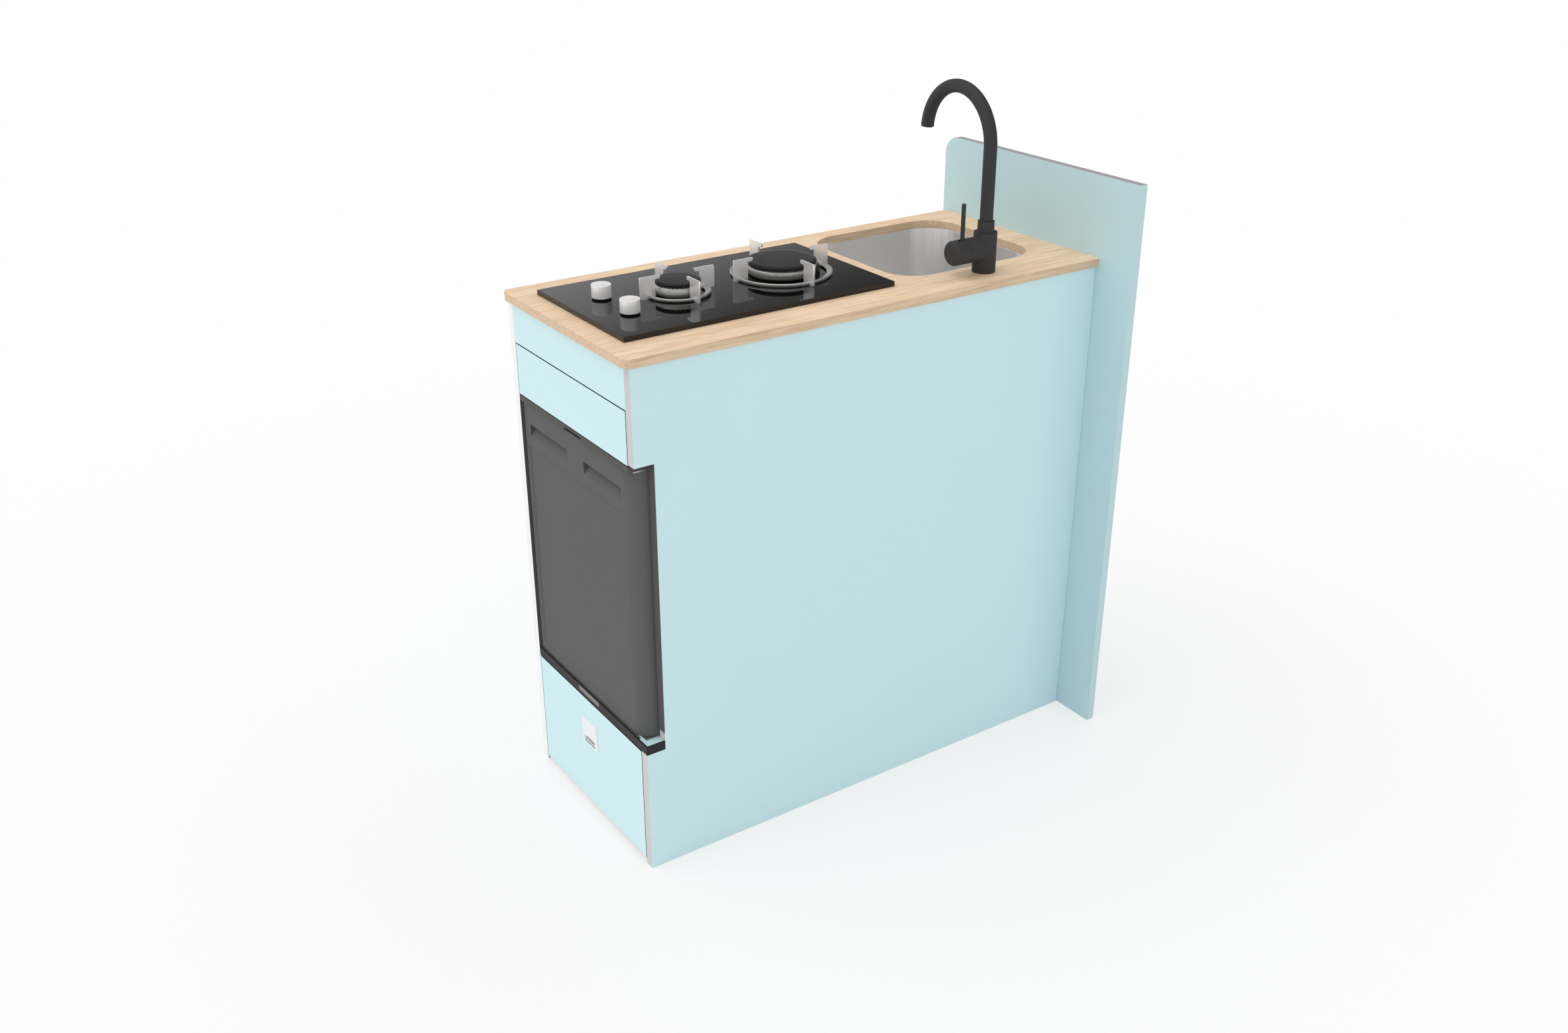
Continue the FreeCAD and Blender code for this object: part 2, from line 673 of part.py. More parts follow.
def lower_box_bottom():
    return FLOOR_GAP + LOWER_BOX_RISE


def upper_runner_z():
    return upper_box_bottom() + UPPER_BOX_HEIGHT / 2


def lower_runner_z():
    return lower_box_bottom() + LOWER_BOX_HEIGHT / 2


# ---------------------------------------------------------------- drawer latch
def plate_bottom():
    return LOWER_FRONT_TOP - DRAWER_LATCH_DROP - PLATE_HEIGHT


def plate_block(margin, y0, y1):
    half = PLATE_WIDTH / 2 - margin
    x = -DRAWER_LATCH_X
    return rounded_block(
        x - half, x + half, y0, y1,
        plate_bottom() + margin, plate_bottom() + PLATE_HEIGHT - margin,
        PLATE_CORNER_R - margin, "Y",
    )


def lower_drawer_front():
    opening = plate_block(HOUSING_MARGIN - SLIDE_CLEARANCE, -1, FRONT_BOARD + 1)
    return drawer_front(FLOOR_GAP, LOWER_FRONT_TOP).cut(opening)


def pivot_point():
    return VEC(-DRAWER_LATCH_X + RECESS_SHIFT, PADDLE_PIVOT_SETBACK, plate_bottom() + PADDLE_PIVOT_RISE)


def latch_housing():
    plate = plate_block(0, -PLATE_THICKNESS, 0)
    body = plate_block(HOUSING_MARGIN, 0, HOUSING_DEPTH)
    shell = join([plate, body])
    x = -DRAWER_LATCH_X + RECESS_SHIFT
    half = RECESS_WIDTH / 2
    low = plate_bottom() + RECESS_RISE
    opening = rounded_block(x - half, x + half, -PLATE_THICKNESS - 1, 1, low, low + RECESS_HEIGHT, 2, "Y")
    inner = half - HOUSING_WALL + 1
    pivot = pivot_point()
    cavity = block(x - inner, x + inner, 0, HOUSING_DEPTH - HOUSING_WALL,
                   plate_bottom() + HOUSING_MARGIN + HOUSING_WALL, pivot.z + PADDLE_ARM_WIDTH)
    slot = bolt_block(SLIDE_CLEARANCE, plate_bottom() + HOUSING_MARGIN + HOUSING_WALL,
                      plate_bottom() + PLATE_HEIGHT + 1)
    reach = inner + PADDLE_TRUNNION
    holes = rod(PADDLE_PIN_R + PIN_CLEARANCE, pivot - X_AXIS * reach, X_AXIS, 2 * reach)
    return shell.cut([opening, cavity, slot, holes])


def latch_paddle():
    pivot = pivot_point()
    half = RECESS_WIDTH / 2 - HOUSING_WALL + 1 - SLIDE_CLEARANCE
    left = pivot.x - half
    right = pivot.x + half
    front = PADDLE_SETBACK
    low = plate_bottom() + HOUSING_MARGIN + HOUSING_WALL + PADDLE_FOOT_CLEARANCE
    top = pivot.z + PADDLE_HUB_R - 1
    tab = block(left, right, front, front + PADDLE_THICKNESS, low, top)
    hub = rod(PADDLE_HUB_R, pivot - X_AXIS * half, X_AXIS, 2 * half)
    web = block(left, right, front, pivot.y, top - PADDLE_THICKNESS, top)
    arm_half = PADDLE_ARM_WIDTH / 2
    x = -DRAWER_LATCH_X
    thick = PADDLE_ARM_THICKNESS / 2
    arm = block(x - arm_half, x + arm_half, pivot.y, pivot.y + PADDLE_ARM, pivot.z - thick, pivot.z + thick)
    reach = half + PADDLE_TRUNNION
    trunnions = rod(PADDLE_PIN_R, pivot - X_AXIS * reach, X_AXIS, 2 * reach)
    return join([tab, web, hub, arm, trunnions])


def bolt_block(margin, z0, z1):
    half = DRAWER_BOLT_WIDTH / 2 + margin
    x = -DRAWER_LATCH_X
    return block(x - half, x + half, DRAWER_BOLT_SETBACK - margin,
                 DRAWER_BOLT_SETBACK + DRAWER_BOLT_DEPTH + margin, z0, z1)


def latch_bolt():
    pivot = pivot_point()
    tip = NICHE_BOTTOM - STRIKE_SHEET - DRAWER_BOLT_TIP_GAP
    bar = bolt_block(0, pivot.z - DRAWER_BOLT_TAIL, tip)
    half = PADDLE_ARM_WIDTH / 2 + SLIDE_CLEARANCE
    window = block(-DRAWER_LATCH_X - half, -DRAWER_LATCH_X + half, 0, HOUSING_DEPTH,
                   pivot.z - DRAWER_BOLT_WINDOW_BELOW, pivot.z + DRAWER_BOLT_WINDOW_ABOVE)
    return bar.cut(window)


def latch_strike():
    x = -DRAWER_LATCH_X
    y = DRAWER_BOLT_SETBACK + DRAWER_BOLT_DEPTH / 2
    plate = block(x - STRIKE_WIDTH / 2, x + STRIKE_WIDTH / 2, y - STRIKE_LENGTH / 2, y + STRIKE_LENGTH / 2,
                  NICHE_BOTTOM - STRIKE_SHEET, NICHE_BOTTOM)
    return plate.cut(mortise_box())


# ---------------------------------------------------------------- fridge niche
def trim_insert_block(margin, y0, y1):
    top = TRIM_TOP - TRIM_INSERT_DROP
    half = TRIM_INSERT_WIDTH / 2 - margin
    return rounded_block(
        TRIM_INSERT_X - half, TRIM_INSERT_X + half, y0, y1,
        top - TRIM_INSERT_HEIGHT + margin, top - margin,
        TRIM_INSERT_HEIGHT * 0.4 - margin, "Y",
    )


def niche_trim():
    front = block(INNER_LEFT, 0, 0, TRIM_THICKNESS, NICHE_BOTTOM, TRIM_TOP)
    side = block(-TRIM_THICKNESS, 0, 0, NICHE_NOTCH_DEPTH, NICHE_BOTTOM, TRIM_TOP)
    return join([front, side]).cut(trim_insert_block(0, -1, TRIM_THICKNESS + 1))


def trim_insert():
    return trim_insert_block(PIN_CLEARANCE, -TRIM_INSERT_PROUD, TRIM_THICKNESS)


def hood_pocket_x():
    """Left and right of the pocket that takes the door bolt."""
    return TRIM_INSERT_X - HOOD_POCKET_WIDTH / 2, TRIM_INSERT_X + HOOD_POCKET_WIDTH / 2


def fridge_frame():
    hood = block(INNER_LEFT, -HOOD_END_GAP, 0, HOOD_DEPTH, HOOD_BOTTOM, HOOD_TOP)
    left, right = hood_pocket_x()
    pocket = block(left, right, -1, HOOD_POCKET_DEPTH, HOOD_BOTTOM - 1, HOOD_BOTTOM + HOOD_POCKET_HEIGHT)
    y1 = NICHE_NOTCH_DEPTH
    strip = block(-HOOD_END_GAP, 0, y1 - FRAME_STRIP, y1, TRIM_TOP + FRAME_STRIP_FOOT, NOTCH_TOP)
    return join([hood, strip]).cut(pocket)


def liner_outline(grow):
    """The fridge's inside in the YZ plane, with the step over the compressor."""
    y_step = CABINET_BACK - MACHINE_DEPTH - FRIDGE_BACK_WALL + grow
    y_back = CABINET_BACK - FRIDGE_BACK_WALL + grow
    z_floor = FRIDGE_BOTTOM + FRIDGE_BACK_WALL - grow
    z_step = FRIDGE_BOTTOM + MACHINE_HEIGHT + FRIDGE_BACK_WALL - grow
    z_ceiling = HOOD_BOTTOM - FRIDGE_BACK_WALL + grow
    return [
        (CABINET_FRONT, z_floor),
        (y_step, z_floor),
        (y_step, z_step),
        (y_back, z_step),
        (y_back, z_ceiling),
        (CABINET_FRONT, z_ceiling),
    ]


def liner_left():
    return DOOR_LEFT + FRIDGE_WALL + LINER_WALL


def liner_right():
    return DOOR_RIGHT - FRIDGE_WALL - LINER_WALL


def fridge_cabinet():
    y_machine = CABINET_BACK - MACHINE_DEPTH
    z_machine = FRIDGE_BOTTOM + MACHINE_HEIGHT
    casing = extrude_yz(
        [
            (CABINET_FRONT, FRIDGE_BOTTOM),
            (y_machine, FRIDGE_BOTTOM),
            (y_machine, z_machine),
            (CABINET_BACK, z_machine),
            (CABINET_BACK, HOOD_BOTTOM),
            (CABINET_FRONT, HOOD_BOTTOM),
        ],
        DOOR_LEFT,
        DOOR_RIGHT,
    )
    space = extrude_yz(liner_outline(LINER_WALL), liner_left() - LINER_WALL, liner_right() + LINER_WALL)
    return casing.cut(space)


def thermostat_point():
    z = HOOD_BOTTOM - FREEZER_HEIGHT - 3 * FRIDGE_BACK_WALL
    return VEC(liner_right(), CABINET_FRONT + MACHINE_DEPTH, z)


def shelf_z():
    return FRIDGE_BOTTOM + FRIDGE_BACK_WALL + SHELF_RISE


def fridge_liner():
    outside = extrude_yz(liner_outline(LINER_WALL), liner_left() - LINER_WALL, liner_right() + LINER_WALL)
    inside = extrude_yz(liner_outline(0), liner_left(), liner_right())
    mouth = block(liner_left(), liner_right(), CABINET_FRONT - 1, CABINET_FRONT + 1,
                  FRIDGE_BOTTOM + FRIDGE_BACK_WALL, HOOD_BOTTOM - FRIDGE_BACK_WALL)
    tub = outside.cut([inside, mouth])
    y0 = CABINET_FRONT + MACHINE_DEPTH
    y1 = CABINET_BACK - FRIDGE_BACK_WALL
    z = shelf_z()
    ledges = [
        block(liner_left(), liner_left() + SHELF_LEDGE, y0, y1, z - SHELF_LEDGE, z),
        block(liner_right() - SHELF_LEDGE, liner_right(), y0, y1, z - SHELF_LEDGE, z),
    ]
    spindle = rod(THERMOSTAT_SPINDLE_R, thermostat_point(), -X_AXIS, THERMOSTAT_SPINDLE)
    return join([tub] + ledges + [spindle])


def thermostat_knob():
    start = thermostat_point() - X_AXIS
    knob = rod(THERMOSTAT_R, start, -X_AXIS, THERMOSTAT_THICKNESS)
    face = start.x - THERMOSTAT_THICKNESS
    rim = min(knob.Edges, key=lambda e: e.BoundBox.XMax)
    knob = knob.makeChamfer(THERMOSTAT_EDGE, [rim])
    wide = THERMOSTAT_GRIP_WIDTH / 2
    tall = THERMOSTAT_GRIP_LENGTH / 2
    grip = block(face - THERMOSTAT_GRIP_WIDTH, face + 1,
                 start.y - wide, start.y + wide, start.z - tall, start.z + tall)
    bore = rod(THERMOSTAT_SPINDLE_R + PIN_CLEARANCE, start + X_AXIS, -X_AXIS, THERMOSTAT_SPINDLE + 1)
    return join([knob, grip]).cut(bore)


def wire_shelf():
    wire = SHELF_WIRE_R
    x0 = liner_left() + 1 + wire
    x1 = liner_right() - 1 - wire
    y0 = CABINET_FRONT + MACHINE_DEPTH + wire
    y1 = CABINET_BACK - FRIDGE_BACK_WALL - 1 - wire
    z = shelf_z() + wire
    rails = [rod(wire, VEC(x0, y, z), X_AXIS, x1 - x0) for y in (y0, y1)]
    pitch = (x1 - x0) / (SHELF_WIRES - 1)
    bars = [rod(wire * 0.8, VEC(x0 + i * pitch, y0, z), Y_AXIS, y1 - y0) for i in range(SHELF_WIRES)]
    return rails[0].fuse(rails[1:] + bars)


def freezer_block(grow, y0, y1):
    x0 = liner_left() + FREEZER_SIDE_GAP - grow
    x1 = liner_right() - FREEZER_SIDE_GAP + grow
    top = HOOD_BOTTOM - FRIDGE_BACK_WALL
    return block(x0, x1, y0, y1, top - FREEZER_HEIGHT - grow, top - FREEZER_SHEET + grow)


def freezer_box():
    y0 = CABINET_FRONT + FREEZER_SETBACK
    y1 = CABINET_BACK - FRIDGE_BACK_WALL
    outside = freezer_block(FREEZER_SHEET, y0 - 2 * FLAP_THICKNESS, y1)
    inside = freezer_block(0, y0 - 2 * FLAP_THICKNESS - 1, y1 - FREEZER_SHEET)
    pins = rod(FLAP_PIN_R + PIN_CLEARANCE, flap_pivot() - X_AXIS * UNIT_WIDTH, X_AXIS, 2 * UNIT_WIDTH)
    return outside.cut([inside, pins])


def flap_pivot():
    top = HOOD_BOTTOM - FRIDGE_BACK_WALL - FREEZER_SHEET
    y = CABINET_FRONT + FREEZER_SETBACK - FLAP_THICKNESS
    return VEC((liner_left() + liner_right()) / 2, y, top - FLAP_PIN_R - FLAP_THICKNESS)


def freezer_flap():
    pivot = flap_pivot()
    x0 = liner_left() + FREEZER_SIDE_GAP + FLAP_CLEARANCE
    x1 = liner_right() - FREEZER_SIDE_GAP - FLAP_CLEARANCE
    low = HOOD_BOTTOM - FRIDGE_BACK_WALL - FREEZER_HEIGHT + FLAP_CLEARANCE
    half = FLAP_THICKNESS / 2
    panel = block(x0, x1, pivot.y - half, pivot.y + half, low, pivot.z)
    roll = rod(FLAP_PIN_R + 1, VEC(x0, pivot.y, pivot.z), X_AXIS, x1 - x0)
    pull_half = FLAP_PULL_WIDTH / 2
    pull_low = low + FLAP_PULL_DEPTH
    pull = block(pivot.x - pull_half, pivot.x + pull_half, pivot.y - half - FLAP_PULL_DEPTH, pivot.y,
                 pull_low, pull_low + FLAP_PULL_THICKNESS)
    pin_start = VEC(x0 - FLAP_TRUNNION, pivot.y, pivot.z)
    pins = rod(FLAP_PIN_R, pin_start, X_AXIS, x1 - x0 + 2 * FLAP_TRUNNION)
    return join([panel, roll, pull, pins])


def compressor():
    x = DOOR_RIGHT - 1.6 * COMPRESSOR_R
    y = CABINET_BACK - MACHINE_DEPTH + COMPRESSOR_R + 6
    z = FRIDGE_BOTTOM
    foot = COMPRESSOR_R + COMPRESSOR_FOOT_MARGIN
    plate = block(x - foot, x + foot, y - COMPRESSOR_R, y + COMPRESSOR_R, z, z + COMPRESSOR_PLATE)
    pot = rod(COMPRESSOR_R, VEC(x, y, z + COMPRESSOR_PLATE), Z_AXIS, COMPRESSOR_HEIGHT)
    top = max(pot.Edges, key=lambda e: e.BoundBox.ZMin)
    pot = pot.makeChamfer(COMPRESSOR_SHOULDER, [top])
    seam_start = VEC(x, y, z + COMPRESSOR_HEIGHT / 2)
    seam = rod(COMPRESSOR_R + COMPRESSOR_SEAM, seam_start, Z_AXIS, COMPRESSOR_SEAM)
    return join([plate, pot, seam])


def condenser():
    x0 = DOOR_LEFT + 12
    y0 = CABINET_BACK - MACHINE_DEPTH + 12
    z0 = FRIDGE_BOTTOM
    body = block(x0, x0 + CONDENSER_WIDTH, y0, y0 + CONDENSER_DEPTH, z0, z0 + CONDENSER_HEIGHT)
    pitch = CONDENSER_WIDTH / CONDENSER_FINS
    slots = []
    for i in range(CONDENSER_FINS - 1):
        x = x0 + (i + 1) * pitch - (pitch - CONDENSER_FIN) / 2
        slots.append(block(x, x + pitch - CONDENSER_FIN, y0 - 1, y0 + CONDENSER_DEPTH - CONDENSER_HEADER,
                           z0 + CONDENSER_HEADER, z0 + CONDENSER_HEIGHT + 1))
    return body.cut(slots)


# ---------------------------------------------------------------- fridge door
def grip_wedge(start, width):
    """A finger grip: deep under its upper lip and running out at its lower edge."""
    x0 = DOOR_LEFT + start
    top = DOOR_TOP - GRIP_TOP_MARGIN
    low = top - GRIP_HEIGHT
    y = DOOR_SETBACK
    return extrude_yz([(y - 1, low), (y, low), (y + GRIP_DEPTH, top), (y - 1, top)], x0, x0 + width)


def door_field():
    """The sunken field, with sloped edges, as a loft of two rectangles."""
    def frame(grow, y):
        x0 = DOOR_LEFT + DOOR_FIELD_LEFT - grow
        x1 = DOOR_RIGHT - DOOR_FIELD_RIGHT + grow
        z0 = DOOR_BOTTOM + DOOR_FIELD_BOTTOM - grow
        z1 = DOOR_TOP - DOOR_FIELD_TOP + grow
        corners = [VEC(x0, y, z0), VEC(x1, y, z0), VEC(x1, y, z1), VEC(x0, y, z1)]
        return Part.makePolygon(corners + corners[:1])

    slope = DOOR_FIELD_SLOPE
    outer = frame(slope / DOOR_FIELD_DEPTH, DOOR_SETBACK - 1)
    inner = frame(-slope, DOOR_SETBACK + DOOR_FIELD_DEPTH)
    return Part.makeLoft([outer, inner], True, True)


def door_bolt_block(margin, z0, z1):
    half = LATCH_BOLT_WIDTH / 2 + margin
    y0 = (DOOR_THICKNESS - LATCH_BOLT_DEPTH) / 2 + DOOR_SETBACK
    y1 = y0 + LATCH_BOLT_DEPTH
    return block(TRIM_INSERT_X - half, TRIM_INSERT_X + half, y0 - margin, y1 + margin, z0, z1)


def hinge_bore(start_z, length):
    return rod(HINGE_PIN_R + PIN_CLEARANCE, VEC(HINGE_X, HINGE_Y, start_z), Z_AXIS, length)


def door_shell():
    slab = block(DOOR_LEFT, DOOR_RIGHT, DOOR_SETBACK, DOOR_BACK, DOOR_BOTTOM, DOOR_TOP)
    hinge_corner = corner_edges(slab, "Z", [VEC(DOOR_RIGHT, DOOR_SETBACK, DOOR_BOTTOM)])
    slab = slab.makeFillet(min(DOOR_ROUND_R, DOOR_THICKNESS) - 0.01, hinge_corner)
    free_corner = corner_edges(slab, "Z", [VEC(DOOR_LEFT, DOOR_SETBACK, DOOR_BOTTOM)])
    slab = slab.makeFillet(DOOR_CORNER_R, free_corner)
    depth = HINGE_PIN_LENGTH + 1
    cuts = [
        door_field(),
        grip_wedge(GRIP_LEFT_START, GRIP_LEFT_WIDTH),
        grip_wedge(GRIP_RIGHT_START, GRIP_RIGHT_WIDTH),
        door_bolt_block(SLIDE_CLEARANCE, DOOR_TOP - LATCH_BOLT_LENGTH - SLIDE_CLEARANCE, DOOR_TOP + 1),
        hinge_bore(DOOR_BOTTOM - 1, depth + 1),
        hinge_bore(DOOR_TOP - depth, depth + 1),
    ]
    return slab.cut(cuts)


def door_latch():
    return door_bolt_block(0, DOOR_TOP - LATCH_BOLT_LENGTH, DOOR_TOP)


def gasket_block(inset, y0, y1):
    return block(
        DOOR_LEFT + GASKET_SIDE_MARGIN + inset,
        DOOR_RIGHT - GASKET_HINGE_MARGIN - inset,
        y0,
        y1,
        DOOR_BOTTOM + GASKET_MARGIN + inset,
        DOOR_TOP - GASKET_MARGIN - inset,
    )


def door_gasket():
    ring = gasket_block(0, DOOR_BACK, DOOR_BACK + GASKET_DEPTH)
    return ring.cut(gasket_block(GASKET_WIDTH, DOOR_BACK - 1, DOOR_BACK + GASKET_DEPTH + 1))


def bin_x():
    gasket_inside = DOOR_RIGHT - GASKET_HINGE_MARGIN - GASKET_WIDTH
    return liner_left() + BIN_LEFT_CLEARANCE, gasket_inside - LINER_PLATE_MARGIN


def door_bin(z, height):
    """An open rack on the inner door, hollow from above."""
    x0, x1 = bin_x()
    y0 = DOOR_BACK
    y1 = DOOR_BACK + BIN_DEPTH + LINER_PLATE
    wall = BIN_WALL
    outside = block(x0, x1, y0, y1, z, z + height)
    inside = block(x0 + wall, x1 - wall, y0 + LINER_PLATE, y1 - wall, z + wall, z + height + 1)
    return outside.cut(inside)


def lower_bin_z():
    return FRIDGE_BOTTOM + FRIDGE_BACK_WALL + 12


def upper_bin_z():
    return lower_bin_z() + UPPER_BIN_RISE


def door_liner():
    inset = GASKET_WIDTH + LINER_PLATE_MARGIN
    plate = gasket_block(inset, DOOR_BACK, DOOR_BACK + LINER_PLATE)
    return join([plate, door_bin(lower_bin_z(), LOWER_BIN_HEIGHT), door_bin(upper_bin_z(), UPPER_BIN_HEIGHT)])


def hinge_plate(z0, z1):
    half = HINGE_PLATE_WIDTH / 2
    return block(HINGE_X - half, HINGE_X + HINGE_INSET_X, HINGE_Y - half, CABINET_FRONT, z0, z1)


def door_hinges():
    low_pin_top = FRIDGE_BOTTOM + HINGE_PLATE + HINGE_PIN_LENGTH
    low_pin = rod(HINGE_PIN_R, VEC(HINGE_X, HINGE_Y, FRIDGE_BOTTOM), Z_AXIS, low_pin_top - FRIDGE_BOTTOM)
    low = join([hinge_plate(FRIDGE_BOTTOM, FRIDGE_BOTTOM + HINGE_PLATE), low_pin])
    high_start = HOOD_BOTTOM - HINGE_PLATE - HINGE_PIN_LENGTH
    high_pin = rod(HINGE_PIN_R, VEC(HINGE_X, HINGE_Y, high_start), Z_AXIS, HOOD_BOTTOM - high_start)
    high = join([hinge_plate(HOOD_BOTTOM - HINGE_PLATE, HOOD_BOTTOM), high_pin])
    return group([low, high])


# ---------------------------------------------------------------- hob
def knob_x():
    return {"small": -KNOB_CENTRE - KNOB_SPACING / 2, "large": -KNOB_CENTRE + KNOB_SPACING / 2}


BURNERS = {
    "small": (SMALL_BURNER_Y, SMALL_BURNER_R, SMALL_RING_R, SMALL_BLADE_R, SMALL_TIP_R),
    "large": (LARGE_BURNER_Y, LARGE_BURNER_R, LARGE_RING_R, LARGE_BLADE_R, LARGE_TIP_R),
}


def hob_glass():
    glass = hob_block(0, WORKTOP_TOP, GLASS_TOP)
    deep = GLASS_THICKNESS + 2
    holes = []
    for y, body_r, _, _, _ in BURNERS.values():
        hole_r = body_r * BURNER_NECK + CUTOUT_CLEARANCE
        holes.append(rod(hole_r, VEC(BURNER_X, y, WORKTOP_TOP - 1), Z_AXIS, deep))
    for x in knob_x().values():
        hole_r = STEM_R + STEM_HOLE_CLEARANCE
        holes.append(rod(hole_r, VEC(x, KNOB_Y, WORKTOP_TOP - 1), Z_AXIS, deep))
    return glass.cut(holes)


def hob_tray():
    outside = hob_block(TRAY_MARGIN, TRAY_BOTTOM, WORKTOP_TOP)
    inside = hob_block(TRAY_MARGIN + TRAY_SHEET, TRAY_BOTTOM + TRAY_SHEET, WORKTOP_TOP + 1)
    pipe_hole = rod(PIPE_R + 1, VEC(-HOB_RIGHT - 3 * TRAY_MARGIN, KNOB_Y, PIPE_Z), X_AXIS, 4 * TRAY_MARGIN)
    return outside.cut([inside, pipe_hole])


def burner_body(y, radius):
    """A burner head on its neck, with the mixing stem that stands on the tray's floor."""
    neck = radius * BURNER_NECK
    profile = [
        (0, TRAY_BOTTOM + TRAY_SHEET),
        (BURNER_STEM_R, TRAY_BOTTOM + TRAY_SHEET),
        (BURNER_STEM_R, WORKTOP_TOP - BURNER_SKIRT),
        (neck, WORKTOP_TOP),
        (neck, GLASS_TOP + BURNER_LIFT),
        (radius * 0.93, GLASS_TOP + BURNER_LIFT),
        (radius, GLASS_TOP + BURNER_LIFT + BURNER_HEIGHT * 0.25),
        (radius, GLASS_TOP + BURNER_LIFT + BURNER_HEIGHT * 0.85),
        (radius * 0.95, GLASS_TOP + BURNER_LIFT + BURNER_HEIGHT),
        (0, GLASS_TOP + BURNER_LIFT + BURNER_HEIGHT),
    ]
    corners = [VEC(BURNER_X + r, y, z) for r, z in profile]
    face = Part.Face(Part.makePolygon(corners + corners[:1]))
    head = face.revolve(VEC(BURNER_X, y, 0), Z_AXIS, 360)
    seat_r = radius * CAP_SPIGOT + PIN_CLEARANCE * 6
    top = GLASS_TOP + BURNER_LIFT + BURNER_HEIGHT
    seat = rod(seat_r, VEC(BURNER_X, y, top - CAP_THICKNESS), Z_AXIS, CAP_THICKNESS + 1)
    return head.cut(seat)


def feed_routes():
    """The two tubes from the valves to the burners' mixing stems."""
    small_x = knob_x()["small"]
    large_x = knob_x()["large"]
    start_y = KNOB_Y + VALVE_LENGTH / 2
    return {
        "small": [
            (small_x, start_y, PIPE_Z),
            (small_x, SMALL_BURNER_Y, PIPE_Z),
            (BURNER_X - BURNER_STEM_R + FEED_SEAT, SMALL_BURNER_Y, PIPE_Z),
        ],
        "large": [
            (large_x, start_y, PIPE_Z),
            (large_x, LARGE_BURNER_Y, PIPE_Z),
            (BURNER_X + BURNER_STEM_R - FEED_SEAT, LARGE_BURNER_Y, PIPE_Z),
        ],
    }


def burner_bodies():
    heads = []
    for name, (y, radius, _, _, _) in BURNERS.items():
        side = -1 if name == "small" else 1
        port = rod(FEED_R + PIN_CLEARANCE, VEC(BURNER_X + side * BURNER_STEM_R * 1.5, y, PIPE_Z),
                   X_AXIS * -side, BURNER_STEM_R * 0.5 + FEED_SEAT)
        heads.append(burner_body(y, radius).cut(port))
    return group(heads)


def burner_cap(name):
    y, radius, _, _, _ = BURNERS[name]
    z = GLASS_TOP + BURNER_LIFT + BURNER_HEIGHT
    cap_r = radius + CAP_OVERHANG
    profile = [
        (0, z - CAP_THICKNESS + 0.5),
        (radius * CAP_SPIGOT, z - CAP_THICKNESS + 0.5),
        (radius * CAP_SPIGOT, z + 0.2),
        (radius * 0.8, z + 0.2),
        (radius * 0.86, z + CAP_GAP),
        (cap_r, z + CAP_GAP),
        (cap_r, z + CAP_GAP + CAP_THICKNESS * 0.6),
        (cap_r - 1.5, z + CAP_GAP + CAP_THICKNESS),
        (0, z + CAP_GAP + CAP_THICKNESS),
    ]
    corners = [VEC(BURNER_X + r, y, h) for r, h in profile]
    face = Part.Face(Part.makePolygon(corners + corners[:1]))
    return face.revolve(VEC(BURNER_X, y, 0), Z_AXIS, 360)


def pan_support(name):
    """A flat ring with four upright blades whose upper lips point inwards."""
    y, _, ring_r, blade_r, tip_r = BURNERS[name]
    centre = VEC(BURNER_X, y, GLASS_TOP)
    ring = tube(ring_r, ring_r - RING_WIDTH, centre + Z_AXIS * (RING_HEIGHT - 3), Z_AXIS, 3)
    leg_in = blade_r - BLADE_LEG
    outline = [
        (leg_in, 0),
        (blade_r, 0),
        (blade_r, BLADE_HEIGHT),
        (tip_r, BLADE_HEIGHT),
        (tip_r + 1.5, BLADE_HEIGHT - BLADE_LIP),
        (leg_in, BLADE_HEIGHT - BLADE_LIP),
    ]
    half = BLADE_THICKNESS / 2
    blade = extrude_xz(outline, -half, half)
    blades = []
    for i in range(BLADES):
        turned = blade.copy()
        turned.rotate(VEC(0, 0, 0), Z_AXIS, i * 360 / BLADES)
        turned.translate(centre)
        blades.append(turned)
    return ring.fuse(blades).removeSplitter()


def knob(name):
    x = knob_x()[name]
    z = GLASS_TOP + KNOB_LIFT
    body = rod(KNOB_R, VEC(x, KNOB_Y, z), Z_AXIS, KNOB_HEIGHT - KNOB_LIFT)
    top = max(body.Edges, key=lambda e: e.BoundBox.ZMin)
    body = body.makeChamfer(KNOB_EDGE_R, [top])
    mark = block(x - 0.8, x + 0.8, KNOB_Y - KNOB_R - 1, KNOB_Y - KNOB_R * 0.4,
                 z + KNOB_HEIGHT - KNOB_LIFT - 0.6, z + KNOB_HEIGHT)
    bore = rod(STEM_R + PIN_CLEARANCE, VEC(x, KNOB_Y, z - 1), Z_AXIS, STEM_HEIGHT - KNOB_LIFT + 1.5)
    return body.cut([bore, mark])


def gas_valves():
    valves = []
    for x in knob_x().values():
        wide = VALVE_WIDTH / 2
        deep = VALVE_LENGTH / 2
        floor = TRAY_BOTTOM + TRAY_SHEET
        stem_start = floor + VALVE_HEIGHT
        body = block(x - wide, x + wide, KNOB_Y - deep, KNOB_Y + deep, floor, stem_start)
        stem = rod(STEM_R, VEC(x, KNOB_Y, stem_start), Z_AXIS, GLASS_TOP + STEM_HEIGHT - stem_start)
        bore = rod(PIPE_R + PIN_CLEARANCE, VEC(x - VALVE_WIDTH, KNOB_Y, PIPE_Z), X_AXIS, 2 * VALVE_WIDTH)
        valves.append(join([body, stem]).cut(bore))
    return group(valves)


